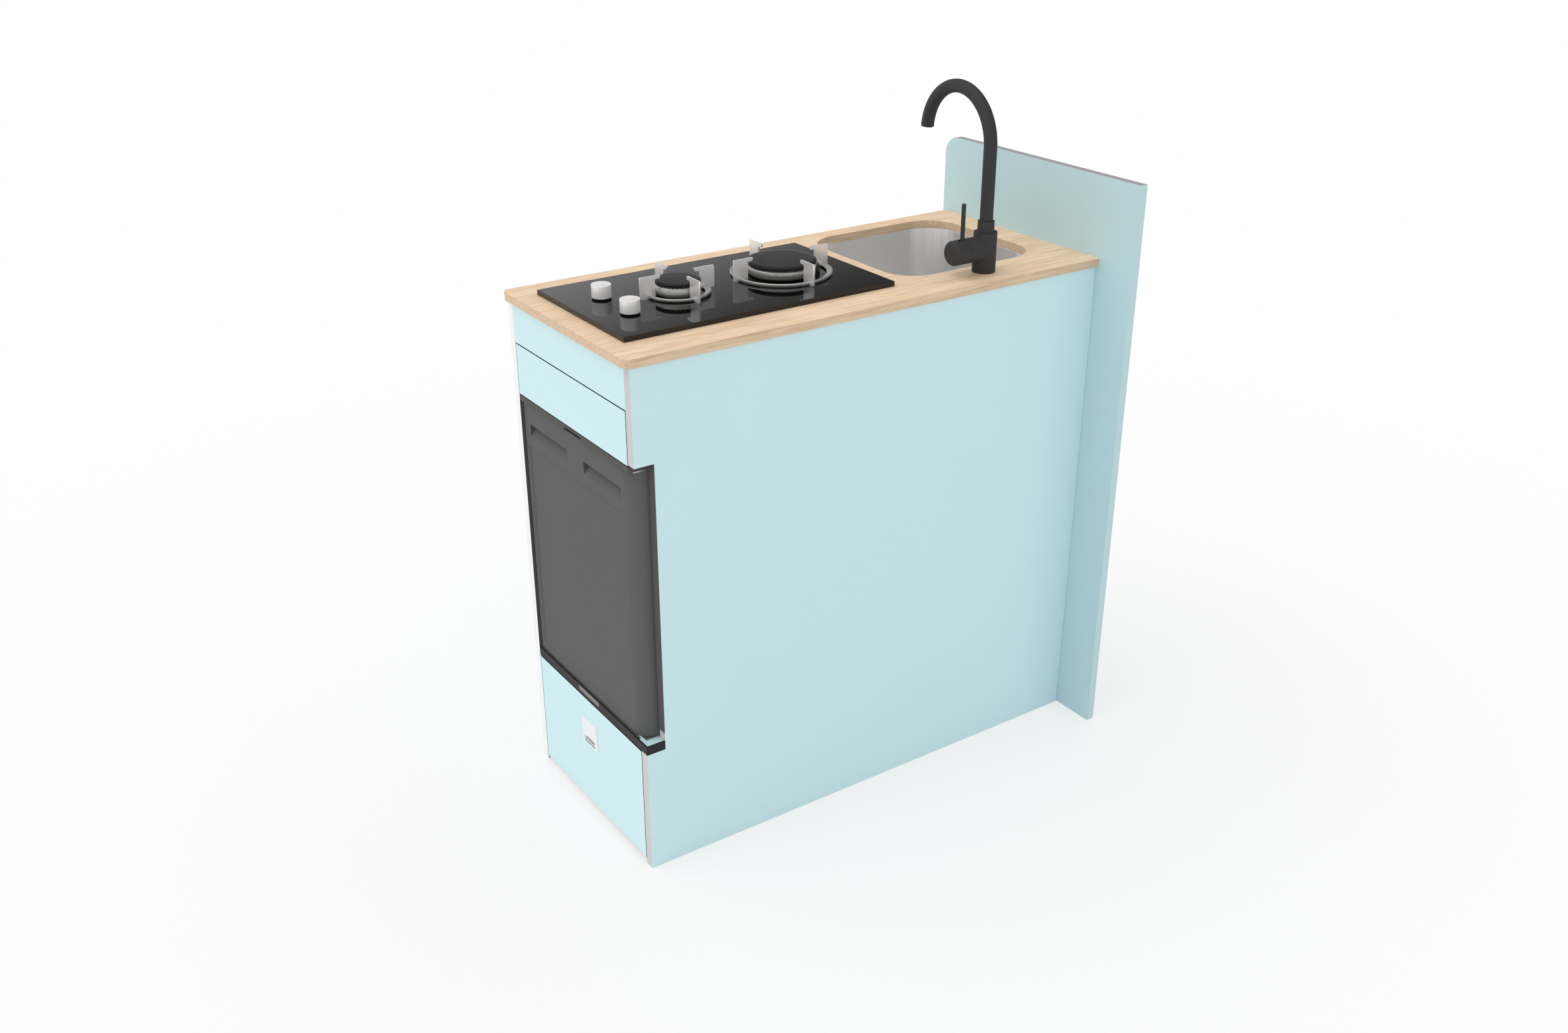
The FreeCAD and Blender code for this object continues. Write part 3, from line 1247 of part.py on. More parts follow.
def gas_pipe():
    start_x = knob_x()["small"] - VALVE_WIDTH / 2
    riser = bent_rod(
        [
            (start_x, KNOB_Y, PIPE_Z),
            (-PIPE_SIDE, KNOB_Y, PIPE_Z),
            (-PIPE_SIDE, PARTITION_BACK + PIPE_TAIL, PIPE_Z),
        ],
        PIPE_R,
        PIPE_BEND,
    )
    collar_start = VEC(-PIPE_SIDE, PARTITION_BACK + PIPE_COLLAR_GAP, PIPE_Z)
    collar = rod(PIPE_COLLAR_R, collar_start, Y_AXIS, PIPE_COLLAR_WIDTH)
    riser = join([riser, collar])
    feeds = [bent_rod(points, FEED_R, FEED_BEND) for points in feed_routes().values()]
    return group([riser] + feeds)


def igniters():
    """A small spark block beside each burner, turned to face it."""
    blocks = []
    for name, (y, radius, _, _, _) in BURNERS.items():
        angle = IGNITER_ANGLE if name == "large" else 180 - IGNITER_ANGLE
        near = radius + BURNER_LIFT / 2
        piece = block(near, near + IGNITER_DEPTH, -IGNITER_WIDTH / 2, IGNITER_WIDTH / 2, 0, IGNITER_HEIGHT)
        piece.rotate(VEC(0, 0, 0), Z_AXIS, angle)
        piece.translate(VEC(BURNER_X, y, GLASS_TOP))
        blocks.append(piece)
    return group(blocks)


# ---------------------------------------------------------------- sink
def basin_solid(grow, top):
    """The basin's inner space, grown outwards by a sheet thickness."""
    solid = sink_outline(BASIN_REVEAL - grow, BASIN_BOTTOM - grow + BASIN_SHEET, top)
    low = min(f.BoundBox.ZMax for f in solid.Faces)
    floor_edges = [e for e in solid.Edges if e.BoundBox.ZMax < low + 0.01]
    return solid.makeFillet(BASIN_FLOOR_R + grow, floor_edges)


def sink_basin():
    sheet = BASIN_SHEET
    shell = basin_solid(sheet, SIDE_HEIGHT)
    flange = sink_outline(-BASIN_FLANGE, SIDE_HEIGHT - sheet, SIDE_HEIGHT)
    solid = shell.fuse(flange).removeSplitter()
    hole = rod(WASTE_HOLE_R, VEC(SINK_X, SINK_Y, BASIN_BOTTOM - 2), Z_AXIS, 5)
    return solid.cut([basin_solid(0, SIDE_HEIGHT + 1), hole])


def sink_clips():
    """Clips under the worktop, behind the basin, that hold its flange up."""
    y = SINK_FRONT + SINK_LENGTH + BASIN_FLANGE
    flange_z = SIDE_HEIGHT - BASIN_SHEET
    half = CLIP_WIDTH / 2
    clips = []
    for x in (SINK_X - SINK_WIDTH / 4, SINK_X + SINK_WIDTH / 4):
        foot = block(x - half, x + half, y, y + CLIP_LENGTH, flange_z - CLIP_SHEET, SIDE_HEIGHT)
        tongue = block(x - half, x + half, y - CLIP_LENGTH / 2, y, flange_z - CLIP_SHEET, flange_z)
        clips.append(join([foot, tongue]))
    return group(clips)


def revolved(profile, x, y):
    """A profile of (radius, z) points turned about the vertical line through x, y."""
    corners = [VEC(x + r, y, z) for r, z in profile]
    face = Part.Face(Part.makePolygon(corners + corners[:1]))
    return face.revolve(VEC(x, y, 0), Z_AXIS, 360)


def waste_cup_r():
    """Inner radius of the waste fitting's cup."""
    return WASTE_HOLE_R - STRAINER_GAP - WASTE_WALL


def waste_fitting():
    floor = BASIN_BOTTOM + BASIN_SHEET
    cup = waste_cup_r()
    low = BASIN_BOTTOM - WASTE_CUP_DEPTH
    return revolved(
        [
            (cup, floor + WASTE_LIP),
            (WASTE_R, floor + WASTE_LIP),
            (WASTE_R, floor),
            (cup + WASTE_WALL, floor),
            (cup + WASTE_WALL, BASIN_BOTTOM),
            (WASTE_R, BASIN_BOTTOM),
            (WASTE_R, BASIN_BOTTOM - 2 * WASTE_WALL),
            (cup + WASTE_WALL, BASIN_BOTTOM - 2 * WASTE_WALL),
            (cup + WASTE_WALL, low),
            (TRAP_DIP_R - TRAP_WALL, low),
            (TRAP_DIP_R - TRAP_WALL, low + WASTE_WALL),
            (cup, low + WASTE_WALL),
        ],
        SINK_X,
        SINK_Y,
    )


def strainer_basket():
    rest = BASIN_BOTTOM + BASIN_SHEET + WASTE_LIP
    outer = waste_cup_r() - STRAINER_GAP
    wall = STRAINER_WALL
    low = rest - STRAINER_DEPTH
    basket = revolved(
        [
            (0, low),
            (outer, low),
            (outer, rest),
            (WASTE_HOLE_R + 2, rest),
            (WASTE_HOLE_R + 2, rest + wall),
            (outer - wall, rest + wall),
            (outer - wall, low + wall),
            (STRAINER_KNOB_R * 0.5, low + wall),
            (STRAINER_KNOB_R * 0.5, low + STRAINER_KNOB_HEIGHT),
            (STRAINER_KNOB_R, low + STRAINER_KNOB_HEIGHT),
            (STRAINER_KNOB_R, low + STRAINER_KNOB_HEIGHT + 4),
            (0, low + STRAINER_KNOB_HEIGHT + 4),
        ],
        SINK_X,
        SINK_Y,
    )
    holes = []
    for i in range(STRAINER_HOLES):
        angle = 2 * math.pi * i / STRAINER_HOLES
        x = SINK_X + 0.65 * outer * math.cos(angle)
        y = SINK_Y + 0.65 * outer * math.sin(angle)
        holes.append(rod(STRAINER_HOLE_R, VEC(x, y, low - 1), Z_AXIS, wall + 2))
    return basket.cut(holes)


def waste_trap():
    """A bottle trap: dip tube, water seal and a hose tail, with its stop, to the end panel."""
    top = BASIN_BOTTOM - WASTE_CUP_DEPTH
    low = top - TRAP_HEIGHT
    wall = TRAP_WALL
    bottle = rod(TRAP_R, VEC(SINK_X, SINK_Y, low), Z_AXIS, TRAP_HEIGHT)
    inside = rod(TRAP_R - wall, VEC(SINK_X, SINK_Y, low + wall), Z_AXIS, TRAP_HEIGHT - 2 * wall)
    tail_start = VEC(SINK_X, SINK_Y, top - wall - TRAP_TAIL_R)
    tail = rod(TRAP_TAIL_R, tail_start, Y_AXIS, TRAP_TAIL_LENGTH)
    tail_bore = rod(TRAP_TAIL_R - wall, tail_start, Y_AXIS, TRAP_TAIL_LENGTH + 1)
    stop = rod(TRAP_STOP_R, tail_start + Y_AXIS * TRAP_STOP_START, Y_AXIS, TRAP_STOP_WIDTH)
    shell = bottle.fuse([tail, stop]).cut([inside, tail_bore])
    dip_length = TRAP_HEIGHT * 0.7
    dip = rod(TRAP_DIP_R, VEC(SINK_X, SINK_Y, top - dip_length), Z_AXIS, dip_length)
    bore = rod(TRAP_DIP_R - wall, VEC(SINK_X, SINK_Y, top - dip_length - 1), Z_AXIS, dip_length + 2)
    return shell.fuse(dip).cut(bore).removeSplitter()


# ---------------------------------------------------------------- tap
def tap_point(z):
    return VEC(-TAP_X, TAP_Y, z)


def collar_top():
    return WORKTOP_TOP + TAP_BODY_HEIGHT + TAP_COLLAR_HEIGHT


def tap_body():
    """The upright body with its collar, and the fixed hub at its side."""
    body = rod(TAP_BODY_R, tap_point(WORKTOP_TOP), Z_AXIS, TAP_BODY_HEIGHT)
    collar = rod(TAP_COLLAR_R, tap_point(WORKTOP_TOP + TAP_BODY_HEIGHT), Z_AXIS, TAP_COLLAR_HEIGHT)
    hub = rod(SIDE_HUB_R, VEC(-TAP_X, HUB_JOINT_Y, HUB_Z), Y_AXIS, SIDE_HUB_START)
    socket = rod(TAP_TUBE_R + PIN_CLEARANCE, tap_point(collar_top() - TAP_SOCKET), Z_AXIS, TAP_SOCKET + 1)
    cartridge_bore = rod(CARTRIDGE_R + PIN_CLEARANCE, VEC(-TAP_X, HUB_JOINT_Y - 1, HUB_Z), Y_AXIS,
                         CARTRIDGE_DEPTH + TAP_SEAT_CLEARANCE + 1)
    return join([body, collar, hub]).cut([socket, cartridge_bore])


def spout_tube(radius):
    """The spout's path at one radius: an upright run, then the gooseneck's arc."""
    aim = math.radians(TAP_AIM)
    ahead = VEC(math.cos(aim), math.sin(aim), 0)
    foot = tap_point(collar_top() - TAP_SOCKET)
    shoulder = tap_point(WORKTOP_TOP + TAP_BEND_HEIGHT)
    centre = shoulder + ahead * TAP_BEND_R

    def on_arc(angle):
        turn = math.radians(angle)
        return centre - ahead * (TAP_BEND_R * math.cos(turn)) + Z_AXIS * (TAP_BEND_R * math.sin(turn))

    run = Part.LineSegment(foot, shoulder).toShape()
    arc = Part.Arc(shoulder, on_arc(TAP_BEND_ANGLE / 2), on_arc(TAP_BEND_ANGLE)).toShape()
    section = Part.Wire(Part.makeCircle(radius, foot, Z_AXIS))
    return Part.Wire([run, arc]).makePipeShell([section], True, True)


def tap_spout():
    return spout_tube(TAP_TUBE_R).cut(spout_tube(TAP_TUBE_R - TAP_TUBE_WALL))


def lever_y():
    return HUB_JOINT_Y - LEVER_PIN_SETBACK


def tap_mixer_cap():
    """The turning end cap, its cartridge spigot, and the slot that the lever tilts in."""
    face = HUB_JOINT_Y - TAP_SEAT_CLEARANCE
    cap = rod(SIDE_HUB_R, VEC(-TAP_X, face, HUB_Z), -Y_AXIS, SIDE_CAP_LENGTH)
    front_edge = min(cap.Edges, key=lambda e: e.BoundBox.YMax)
    cap = cap.makeFillet(SIDE_CAP_ROUND, [front_edge])
    spigot = rod(CARTRIDGE_R, VEC(-TAP_X, face, HUB_Z), Y_AXIS, CARTRIDGE_DEPTH)
    tilt = math.radians(LEVER_TILT)
    half = LEVER_PIN_R + LEVER_TILT_CLEARANCE
    reach = SIDE_HUB_R * math.tan(tilt) + LEVER_PIN_R / math.cos(tilt) + LEVER_TILT_CLEARANCE
    slot = block(-TAP_X - half, -TAP_X + half, lever_y() - reach, lever_y() + half,
                 HUB_Z, HUB_Z + SIDE_HUB_R + 1)
    seat_half = LEVER_HUB_LENGTH / 2 + LEVER_TILT_CLEARANCE
    seat = rod(LEVER_HUB_R + PIN_CLEARANCE, VEC(-TAP_X - seat_half, lever_y(), HUB_Z), X_AXIS, 2 * seat_half)
    return join([cap, spigot]).cut([slot, seat])


def tap_lever():
    pin = rod(LEVER_PIN_R, VEC(-TAP_X, lever_y(), HUB_Z), Z_AXIS, LEVER_PIN_TOP)
    top = max(pin.Edges, key=lambda e: e.BoundBox.ZMin)
    pin = pin.makeFillet(LEVER_PIN_R * 0.3, [top])
    hub_start = VEC(-TAP_X - LEVER_HUB_LENGTH / 2, lever_y(), HUB_Z)
    hub = rod(LEVER_HUB_R, hub_start, X_AXIS, LEVER_HUB_LENGTH)
    return join([pin, hub])


def tap_fixing():
    """Threaded shank, washer and nut under the worktop, and the two water tails."""
    shank = rod(TAP_SHANK_R, tap_point(WORKTOP_TOP), -Z_AXIS, TAP_SHANK_LENGTH)
    washer = rod(TAP_NUT_R + 3, tap_point(SIDE_HEIGHT - TAP_WASHER_HEIGHT), Z_AXIS, TAP_WASHER_HEIGHT)
    nut = rod(TAP_NUT_R, tap_point(SIDE_HEIGHT - TAP_WASHER_HEIGHT), -Z_AXIS, TAP_NUT_HEIGHT)
    low = WORKTOP_TOP - TAP_SHANK_LENGTH
    tails = []
    for way in (-1, 1):
        start = tap_point(low) + Y_AXIS * way * TAIL_SPACING / 2
        tails.append(rod(TAIL_R, start, -Z_AXIS, TAIL_LENGTH))
    return join([shank, washer, nut] + tails)


# ---------------------------------------------------------------- the whole unit
PIECES = {
    "side_panel_right": side_panel_right,
    "side_panel_left": side_panel_left,
    "end_panel": end_panel,
    "bottom_board": bottom_board,
    "fridge_board": fridge_board,
    "drawer_deck": drawer_deck,
    "partition_board": partition_board,
    "fascia_rail": fascia_rail,
    "worktop": worktop,
    "niche_trim": niche_trim,
    "trim_insert": trim_insert,
    "upper_drawer_front": lambda: drawer_front(UPPER_FRONT_BOTTOM, UPPER_FRONT_TOP),
    "upper_drawer_box": lambda: drawer_box(upper_box_bottom(), UPPER_BOX_HEIGHT),
    "upper_runner_middles": lambda: group(runner_stage(1, upper_runner_z())),
    "upper_runner_slides": lambda: runner_slide(upper_runner_z()),
    "lower_drawer_front": lower_drawer_front,
    "lower_drawer_box": lambda: drawer_box(lower_box_bottom(), LOWER_BOX_HEIGHT),
    "lower_runner_middles": lambda: group(runner_stage(1, lower_runner_z())),
    "lower_runner_slides": lambda: runner_slide(lower_runner_z()),
    "runner_rails": lambda: group(runner_stage(0, upper_runner_z()) + runner_stage(0, lower_runner_z())),
    "latch_housing": latch_housing,
    "latch_paddle": latch_paddle,
    "latch_bolt": latch_bolt,
    "latch_strike": latch_strike,
    "fridge_cabinet": fridge_cabinet,
    "fridge_liner": fridge_liner,
    "fridge_frame": fridge_frame,
    "door_shell": door_shell,
    "door_liner": door_liner,
    "door_gasket": door_gasket,
    "door_hinges": door_hinges,
    "door_latch": door_latch,
    "wire_shelf": wire_shelf,
    "freezer_box": freezer_box,
    "freezer_flap": freezer_flap,
    "compressor": compressor,
    "condenser": condenser,
    "thermostat_knob": thermostat_knob,
    "hob_glass": hob_glass,
    "hob_tray": hob_tray,
    "burner_bodies": burner_bodies,
    "burner_cap_small": lambda: burner_cap("small"),
    "burner_cap_large": lambda: burner_cap("large"),
    "pan_support_small": lambda: pan_support("small"),
    "pan_support_large": lambda: pan_support("large"),
    "knob_small": lambda: knob("small"),
    "knob_large": lambda: knob("large"),
    "gas_valves": gas_valves,
    "gas_pipe": gas_pipe,
    "igniters": igniters,
    "sink_basin": sink_basin,
    "sink_clips": sink_clips,
    "waste_fitting": waste_fitting,
    "strainer_basket": strainer_basket,
    "waste_trap": waste_trap,
    "tap_body": tap_body,
    "tap_spout": tap_spout,
    "tap_mixer_cap": tap_mixer_cap,
    "tap_lever": tap_lever,
    "tap_fixing": tap_fixing,
}

os.makedirs("parts", exist_ok=True)
for node, draw in PIECES.items():
    save(node, draw())
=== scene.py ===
"""Looks of the kitchenette unit with sink and hob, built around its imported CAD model.

Laid out as an add-on: property groups for what a user would change, one operator for
each group of pieces and one for the stage, and a panel that lists them.
"""
import json
import math

import bmesh
import bpy
from mathutils import Matrix, Vector


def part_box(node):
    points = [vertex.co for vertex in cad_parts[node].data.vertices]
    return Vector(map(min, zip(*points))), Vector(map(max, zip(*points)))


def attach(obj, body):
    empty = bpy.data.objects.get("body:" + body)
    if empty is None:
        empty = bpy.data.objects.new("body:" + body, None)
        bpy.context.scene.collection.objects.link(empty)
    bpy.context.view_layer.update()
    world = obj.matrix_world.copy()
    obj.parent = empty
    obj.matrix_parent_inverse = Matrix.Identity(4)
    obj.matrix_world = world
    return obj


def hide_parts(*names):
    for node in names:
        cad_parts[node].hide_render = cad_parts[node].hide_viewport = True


bl_info = {
    "name": "Kitchenette unit",
    "version": (1, 0, 0),
    "blender": (4, 5, 0),
    "location": "3D View > Sidebar > Kitchenette",
    "description": "Dresses a narrow kitchenette unit with hob, basin, tap and fridge",
    "category": "Object",
}

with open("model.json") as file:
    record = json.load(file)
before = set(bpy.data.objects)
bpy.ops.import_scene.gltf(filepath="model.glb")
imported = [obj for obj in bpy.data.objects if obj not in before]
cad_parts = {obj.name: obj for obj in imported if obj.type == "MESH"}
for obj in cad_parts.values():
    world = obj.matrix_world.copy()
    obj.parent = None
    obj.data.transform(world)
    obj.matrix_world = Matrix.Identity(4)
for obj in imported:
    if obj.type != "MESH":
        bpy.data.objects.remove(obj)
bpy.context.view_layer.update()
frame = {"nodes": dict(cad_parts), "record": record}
NODES = frame["nodes"]
BODY_OF = {
    node: body
    for body, members in frame["record"]["behaviour"]["bodies"].items()
    for node in members
}
MM = 0.001


# ---------------------------------------------------------------- settings
def linear(r, g, b):
    """A screen colour, 0 to 255 a channel, as the linear colour that a shader takes."""
    channels = []
    for value in (r, g, b):
        share = value / 255
        low = share / 12.92
        high = ((share + 0.055) / 1.055) ** 2.4
        channels.append(low if share <= 0.04045 else high)
    return tuple(channels)


def colour(name, text, r, g, b):
    return bpy.props.FloatVectorProperty(
        name=name, description=text, subtype="COLOR", size=3, min=0, max=1, default=linear(r, g, b)
    )


def length(name, text, millimetres):
    return bpy.props.FloatProperty(
        name=name, description=text, default=millimetres * MM, min=0, unit="LENGTH", precision=5
    )


class KitchenetteColours(bpy.types.PropertyGroup):
    """Colours of the unit's boards, metals and plastics"""
    panel: colour("Panel", "Light blue laminate of the boards", 203, 233, 238)
    panel_edge: colour("Panel edge", "Pale core that shows at the boards' cut edges", 196, 197, 199)
    wall_edge: colour("Wall side edge", "Front edge of the board at the wall side", 240, 241, 243)
    # Painted shade: this near-black edge colour stands in for the shade in the gaps round the drawer
    # fronts and fascia.
    gap_shade_edge: colour("Front edge", "Painted shade on the edges of the drawer fronts and fascia", 34, 31, 30)
    oak: colour("Oak", "Light bands of the worktop", 250, 222, 189)
    oak_dark: colour("Oak grain", "Dark bands of the worktop", 206, 168, 128)
    fridge: colour("Fridge", "Moulded fridge door", 93, 93, 93)
    frame: colour("Fridge frame", "Hood and strips round the door", 84, 82, 80)
    trim: colour("Trim", "Black trim under the fridge", 28, 28, 30)
    glass: colour("Hob glass", "Black hob glass", 14, 13, 12)
    enamel: colour("Burner caps", "Black enamel", 18, 17, 17)
    burner: colour("Burner bodies", "Grey cast burner metal", 186, 185, 183)
    tap: colour("Tap", "Matt charcoal coat", 54, 54, 55)
    steel: colour("Steel", "Brushed stainless steel", 230, 229, 228)
    ring: colour("Support rings", "Darker steel ring of a pan support", 190, 188, 185)
    latch: colour("Latch plate", "White plastic plate", 234, 234, 236)


class KitchenetteSizes(bpy.types.PropertyGroup):
    """Small sizes that only the looks need"""
    edge_round: length("Board edge", "Rounding on the edges of boards", 0.8)
    oak_round: length("Worktop edge", "Rounding on the worktop's edges", 1.2)
    grain_length: length("Grain", "Length of one grain figure along the worktop", 95)
    port_width: length("Flame port", "Width of one slot round a burner", 1.6)
    knob_rib: length("Knob base", "Height of the dark ring under a knob", 2.2)
    ring_width: length("Support ring width", "Width of the ring of a pan support", 10.0)
    ring_height: length("Support ring height", "Top of that ring over the glass", 6.0)


class KitchenetteStage(bpy.types.PropertyGroup):
    """The camera's place and the strength of the lights"""
    lens: bpy.props.FloatProperty(
        name="Lens", description="Focal length of the camera",
        subtype="DISTANCE_CAMERA", default=34.78, min=1,
    )
    azimuth: bpy.props.FloatProperty(
        name="Azimuth", description="Camera's turn round the unit",
        subtype="ANGLE", default=math.radians(55.686),
    )
    elevation: bpy.props.FloatProperty(
        name="Elevation", description="Camera's height angle",
        subtype="ANGLE", default=math.radians(25.512),
    )
    place: bpy.props.FloatVectorProperty(
        name="Camera", description="Camera's place",
        subtype="TRANSLATION", default=(2.0419, -1.4812, 1.6837),
    )
    sky: bpy.props.FloatProperty(
        name="Sky", description="Strength of the even light", default=0.82, min=0,
    )
    side_light: bpy.props.FloatProperty(
        name="Side light", description="Extra strength of the studio's bright front side",
        default=0.3, min=0,
    )
    sun: bpy.props.FloatProperty(
        name="Key light", description="Strength of the soft key light", default=0.55, min=0,
    )


# ---------------------------------------------------------------- shader groups
def node_group(name, inputs, outputs):
    """An empty shader group with its sockets, and its input and output nodes."""
    tree = bpy.data.node_groups.new(name, "ShaderNodeTree")
    for label, kind, value in inputs:
        socket = tree.interface.new_socket(label, in_out="INPUT", socket_type=kind)
        if value is not None:
            socket.default_value = value
    for label, kind in outputs:
        tree.interface.new_socket(label, in_out="OUTPUT", socket_type=kind)
    return tree, tree.nodes.new("NodeGroupInput"), tree.nodes.new("NodeGroupOutput")


def add(tree, kind, settings=None, links=None):
    """Add a node, set its properties and inputs, and link sockets into it."""
    node = tree.nodes.new(kind)
    for key, value in (settings or {}).items():
        if isinstance(key, str) and hasattr(node, key):
            setattr(node, key, value)
        else:
            node.inputs[key].default_value = value
    for key, source in (links or {}).items():
        tree.links.new(source, node.inputs[key])
    return node


def object_point(tree):
    return tree.nodes.new("ShaderNodeTexCoord").outputs["Object"]


def fine_texture_group():
    """Small uneven spots for any moulded or painted surface."""
    tree, given, made = node_group(
        "Fine texture",
        [
            ("Colour", "NodeSocketColor", (0.5, 0.5, 0.5, 1)),
            ("Grain size", "NodeSocketFloat", 900.0),
            ("Colour change", "NodeSocketFloat", 0.04),
            ("Roughness", "NodeSocketFloat", 0.5),
            ("Roughness change", "NodeSocketFloat", 0.08),
        ],
        [("Colour", "NodeSocketColor"), ("Roughness", "NodeSocketFloat"), ("Height", "NodeSocketFloat")],
    )
    point = object_point(tree)
    fine = add(tree, "ShaderNodeTexNoise", {"Detail": 3.0},
               {"Vector": point, "Scale": given.outputs["Grain size"]})
    broad = add(tree, "ShaderNodeTexNoise", {"Scale": 6.0, "Detail": 4.0}, {"Vector": point})
    centred = add(tree, "ShaderNodeMath", {"operation": "SUBTRACT", 1: 0.5}, {0: broad.outputs["Fac"]})
    shift = add(
        tree, "ShaderNodeMath", {"operation": "MULTIPLY"},
        {0: centred.outputs[0], 1: given.outputs["Colour change"]},
    )
    value = add(tree, "ShaderNodeMath", {"operation": "ADD", 1: 1.0}, {0: shift.outputs[0]})
    tint = add(tree, "ShaderNodeHueSaturation", {},
               {"Color": given.outputs["Colour"], "Value": value.outputs[0]})
    rough_shift = add(
        tree, "ShaderNodeMath", {"operation": "MULTIPLY"},
        {0: centred.outputs[0], 1: given.outputs["Roughness change"]},
    )
    rough = add(
        tree, "ShaderNodeMath", {"operation": "ADD"},
        {0: given.outputs["Roughness"], 1: rough_shift.outputs[0]},
    )
    tree.links.new(tint.outputs["Color"], made.inputs["Colour"])
    tree.links.new(rough.outputs[0], made.inputs["Roughness"])
    tree.links.new(fine.outputs["Fac"], made.inputs["Height"])
    return tree


def grain_group():
    """Long wood figure along Y: pale and dark bands, and pores."""
    tree, given, made = node_group(
        "Wood grain",
        [
            ("Light", "NodeSocketColor", (0.8, 0.6, 0.4, 1)),
            ("Dark", "NodeSocketColor", (0.5, 0.35, 0.2, 1)),
            ("Figure length", "NodeSocketFloat", 0.26),
        ],
        [("Colour", "NodeSocketColor"), ("Height", "NodeSocketFloat")],
    )
    figures_across = 190.0
    band_share = 0.62
    stretch = add(tree, "ShaderNodeMath", {"operation": "DIVIDE", 0: 1.0},
                  {1: given.outputs["Figure length"]})
    along = add(tree, "ShaderNodeCombineXYZ", {"X": figures_across, "Z": figures_across},
                {"Y": stretch.outputs[0]})
    point = add(tree, "ShaderNodeVectorMath", {"operation": "MULTIPLY"},
                {0: object_point(tree), 1: along.outputs[0]})
    bands = add(tree, "ShaderNodeTexNoise",
                {"Scale": 1.0, "Detail": 5.0, "Roughness": 0.62, "Distortion": 0.35},
                {"Vector": point.outputs[0]})
    fine_scale = add(tree, "ShaderNodeVectorMath", {"operation": "MULTIPLY", 1: (5.0, 2.4, 5.0)},
                     {0: point.outputs[0]})
    pores = add(tree, "ShaderNodeTexNoise", {"Scale": 1.4, "Detail": 3.0, "Roughness": 0.7},
                {"Vector": fine_scale.outputs[0]})
    band_mask = add(tree, "ShaderNodeMapRange", {"From Min": 0.36, "From Max": 0.66},
                    {"Value": bands.outputs["Fac"]})
    pore_mask = add(tree, "ShaderNodeMapRange", {"From Min": 0.55, "From Max": 0.72, "To Max": 0.55},
                    {"Value": pores.outputs["Fac"]})
    both = add(tree, "ShaderNodeMath", {"operation": "MULTIPLY_ADD", 1: band_share},
               {0: band_mask.outputs[0]})
    tree.links.new(pore_mask.outputs[0], both.inputs[2])
    mix = add(tree, "ShaderNodeMix", {"data_type": "RGBA"}, {0: both.outputs[0]})
    tree.links.new(given.outputs["Light"], mix.inputs[6])
    tree.links.new(given.outputs["Dark"], mix.inputs[7])
    tree.links.new(mix.outputs[2], made.inputs["Colour"])
    tree.links.new(pores.outputs["Fac"], made.inputs["Height"])
    return tree


def brushed_group():
    """Fine scratches drawn out along one axis of the piece."""
    tree, given, made = node_group(
        "Brushed lines",
        [
            ("Direction", "NodeSocketVector", (30.0, 30.0, 2500.0)),
            ("Roughness", "NodeSocketFloat", 0.3),
            ("Roughness change", "NodeSocketFloat", 0.12),
        ],
        [("Roughness", "NodeSocketFloat"), ("Height", "NodeSocketFloat")],
    )
    point = add(tree, "ShaderNodeVectorMath", {"operation": "MULTIPLY"},
                {0: object_point(tree), 1: given.outputs["Direction"]})
    lines = add(tree, "ShaderNodeTexNoise", {"Scale": 1.0, "Detail": 2.0}, {"Vector": point.outputs[0]})
    centred = add(tree, "ShaderNodeMath", {"operation": "SUBTRACT", 1: 0.5}, {0: lines.outputs["Fac"]})
    rough = add(
        tree, "ShaderNodeMath", {"operation": "MULTIPLY_ADD"},
        {0: centred.outputs[0], 1: given.outputs["Roughness change"], 2: given.outputs["Roughness"]},
    )
    tree.links.new(rough.outputs[0], made.inputs["Roughness"])
    tree.links.new(lines.outputs["Fac"], made.inputs["Height"])
    return tree


GROUPS = {}


def shared_group(name):
    """One of the shader groups above, built when it is first asked for."""
    builders = {"fine": fine_texture_group, "grain": grain_group, "brushed": brushed_group}
    if name not in GROUPS:
        GROUPS[name] = builders[name]()
    return GROUPS[name]


# ---------------------------------------------------------------- materials
def new_material(name):
    material = bpy.data.materials.new(name)
    material.use_nodes = True
    tree = material.node_tree
    return material, tree, tree.nodes["Principled BSDF"]


def place_group(tree, name, values):
    node = tree.nodes.new("ShaderNodeGroup")
    node.node_tree = shared_group(name)
    for key, value in values.items():
        node.inputs[key].default_value = value
    return node


def bump(tree, shader, height, strength, distance):
    node = add(tree, "ShaderNodeBump", {"Strength": strength, "Distance": distance}, {"Height": height})
    tree.links.new(node.outputs["Normal"], shader.inputs["Normal"])


def rgba(values):
    return (*values, 1.0)


def moulded(name, values, roughness, grain=900.0, depth=0.15, change=0.05, metallic=0.0, gloss=0.5):
    """Moulded or painted surface with a fine grain and slightly uneven gloss."""
    material, tree, shader = new_material(name)
    texture = place_group(
        tree, "fine",
        {"Colour": rgba(values), "Grain size": grain, "Colour change": change, "Roughness": roughness},
    )
    tree.links.new(texture.outputs["Colour"], shader.inputs["Base Color"])
    tree.links.new(texture.outputs["Roughness"], shader.inputs["Roughness"])
    shader.inputs["Metallic"].default_value = metallic
    shader.inputs["Specular IOR Level"].default_value = gloss
    bump(tree, shader, texture.outputs["Height"], depth, 0.0001)
    return material


def brushed(name, values, roughness, direction, metallic=1.0):
    """Bare metal with drawn-out scratches."""
    material, tree, shader = new_material(name)
    lines = place_group(tree, "brushed", {"Direction": direction, "Roughness": roughness})
    shader.inputs["Base Color"].default_value = rgba(values)
    shader.inputs["Metallic"].default_value = metallic
    tree.links.new(lines.outputs["Roughness"], shader.inputs["Roughness"])
    bump(tree, shader, lines.outputs["Height"], 0.12, 0.00005)
    return material


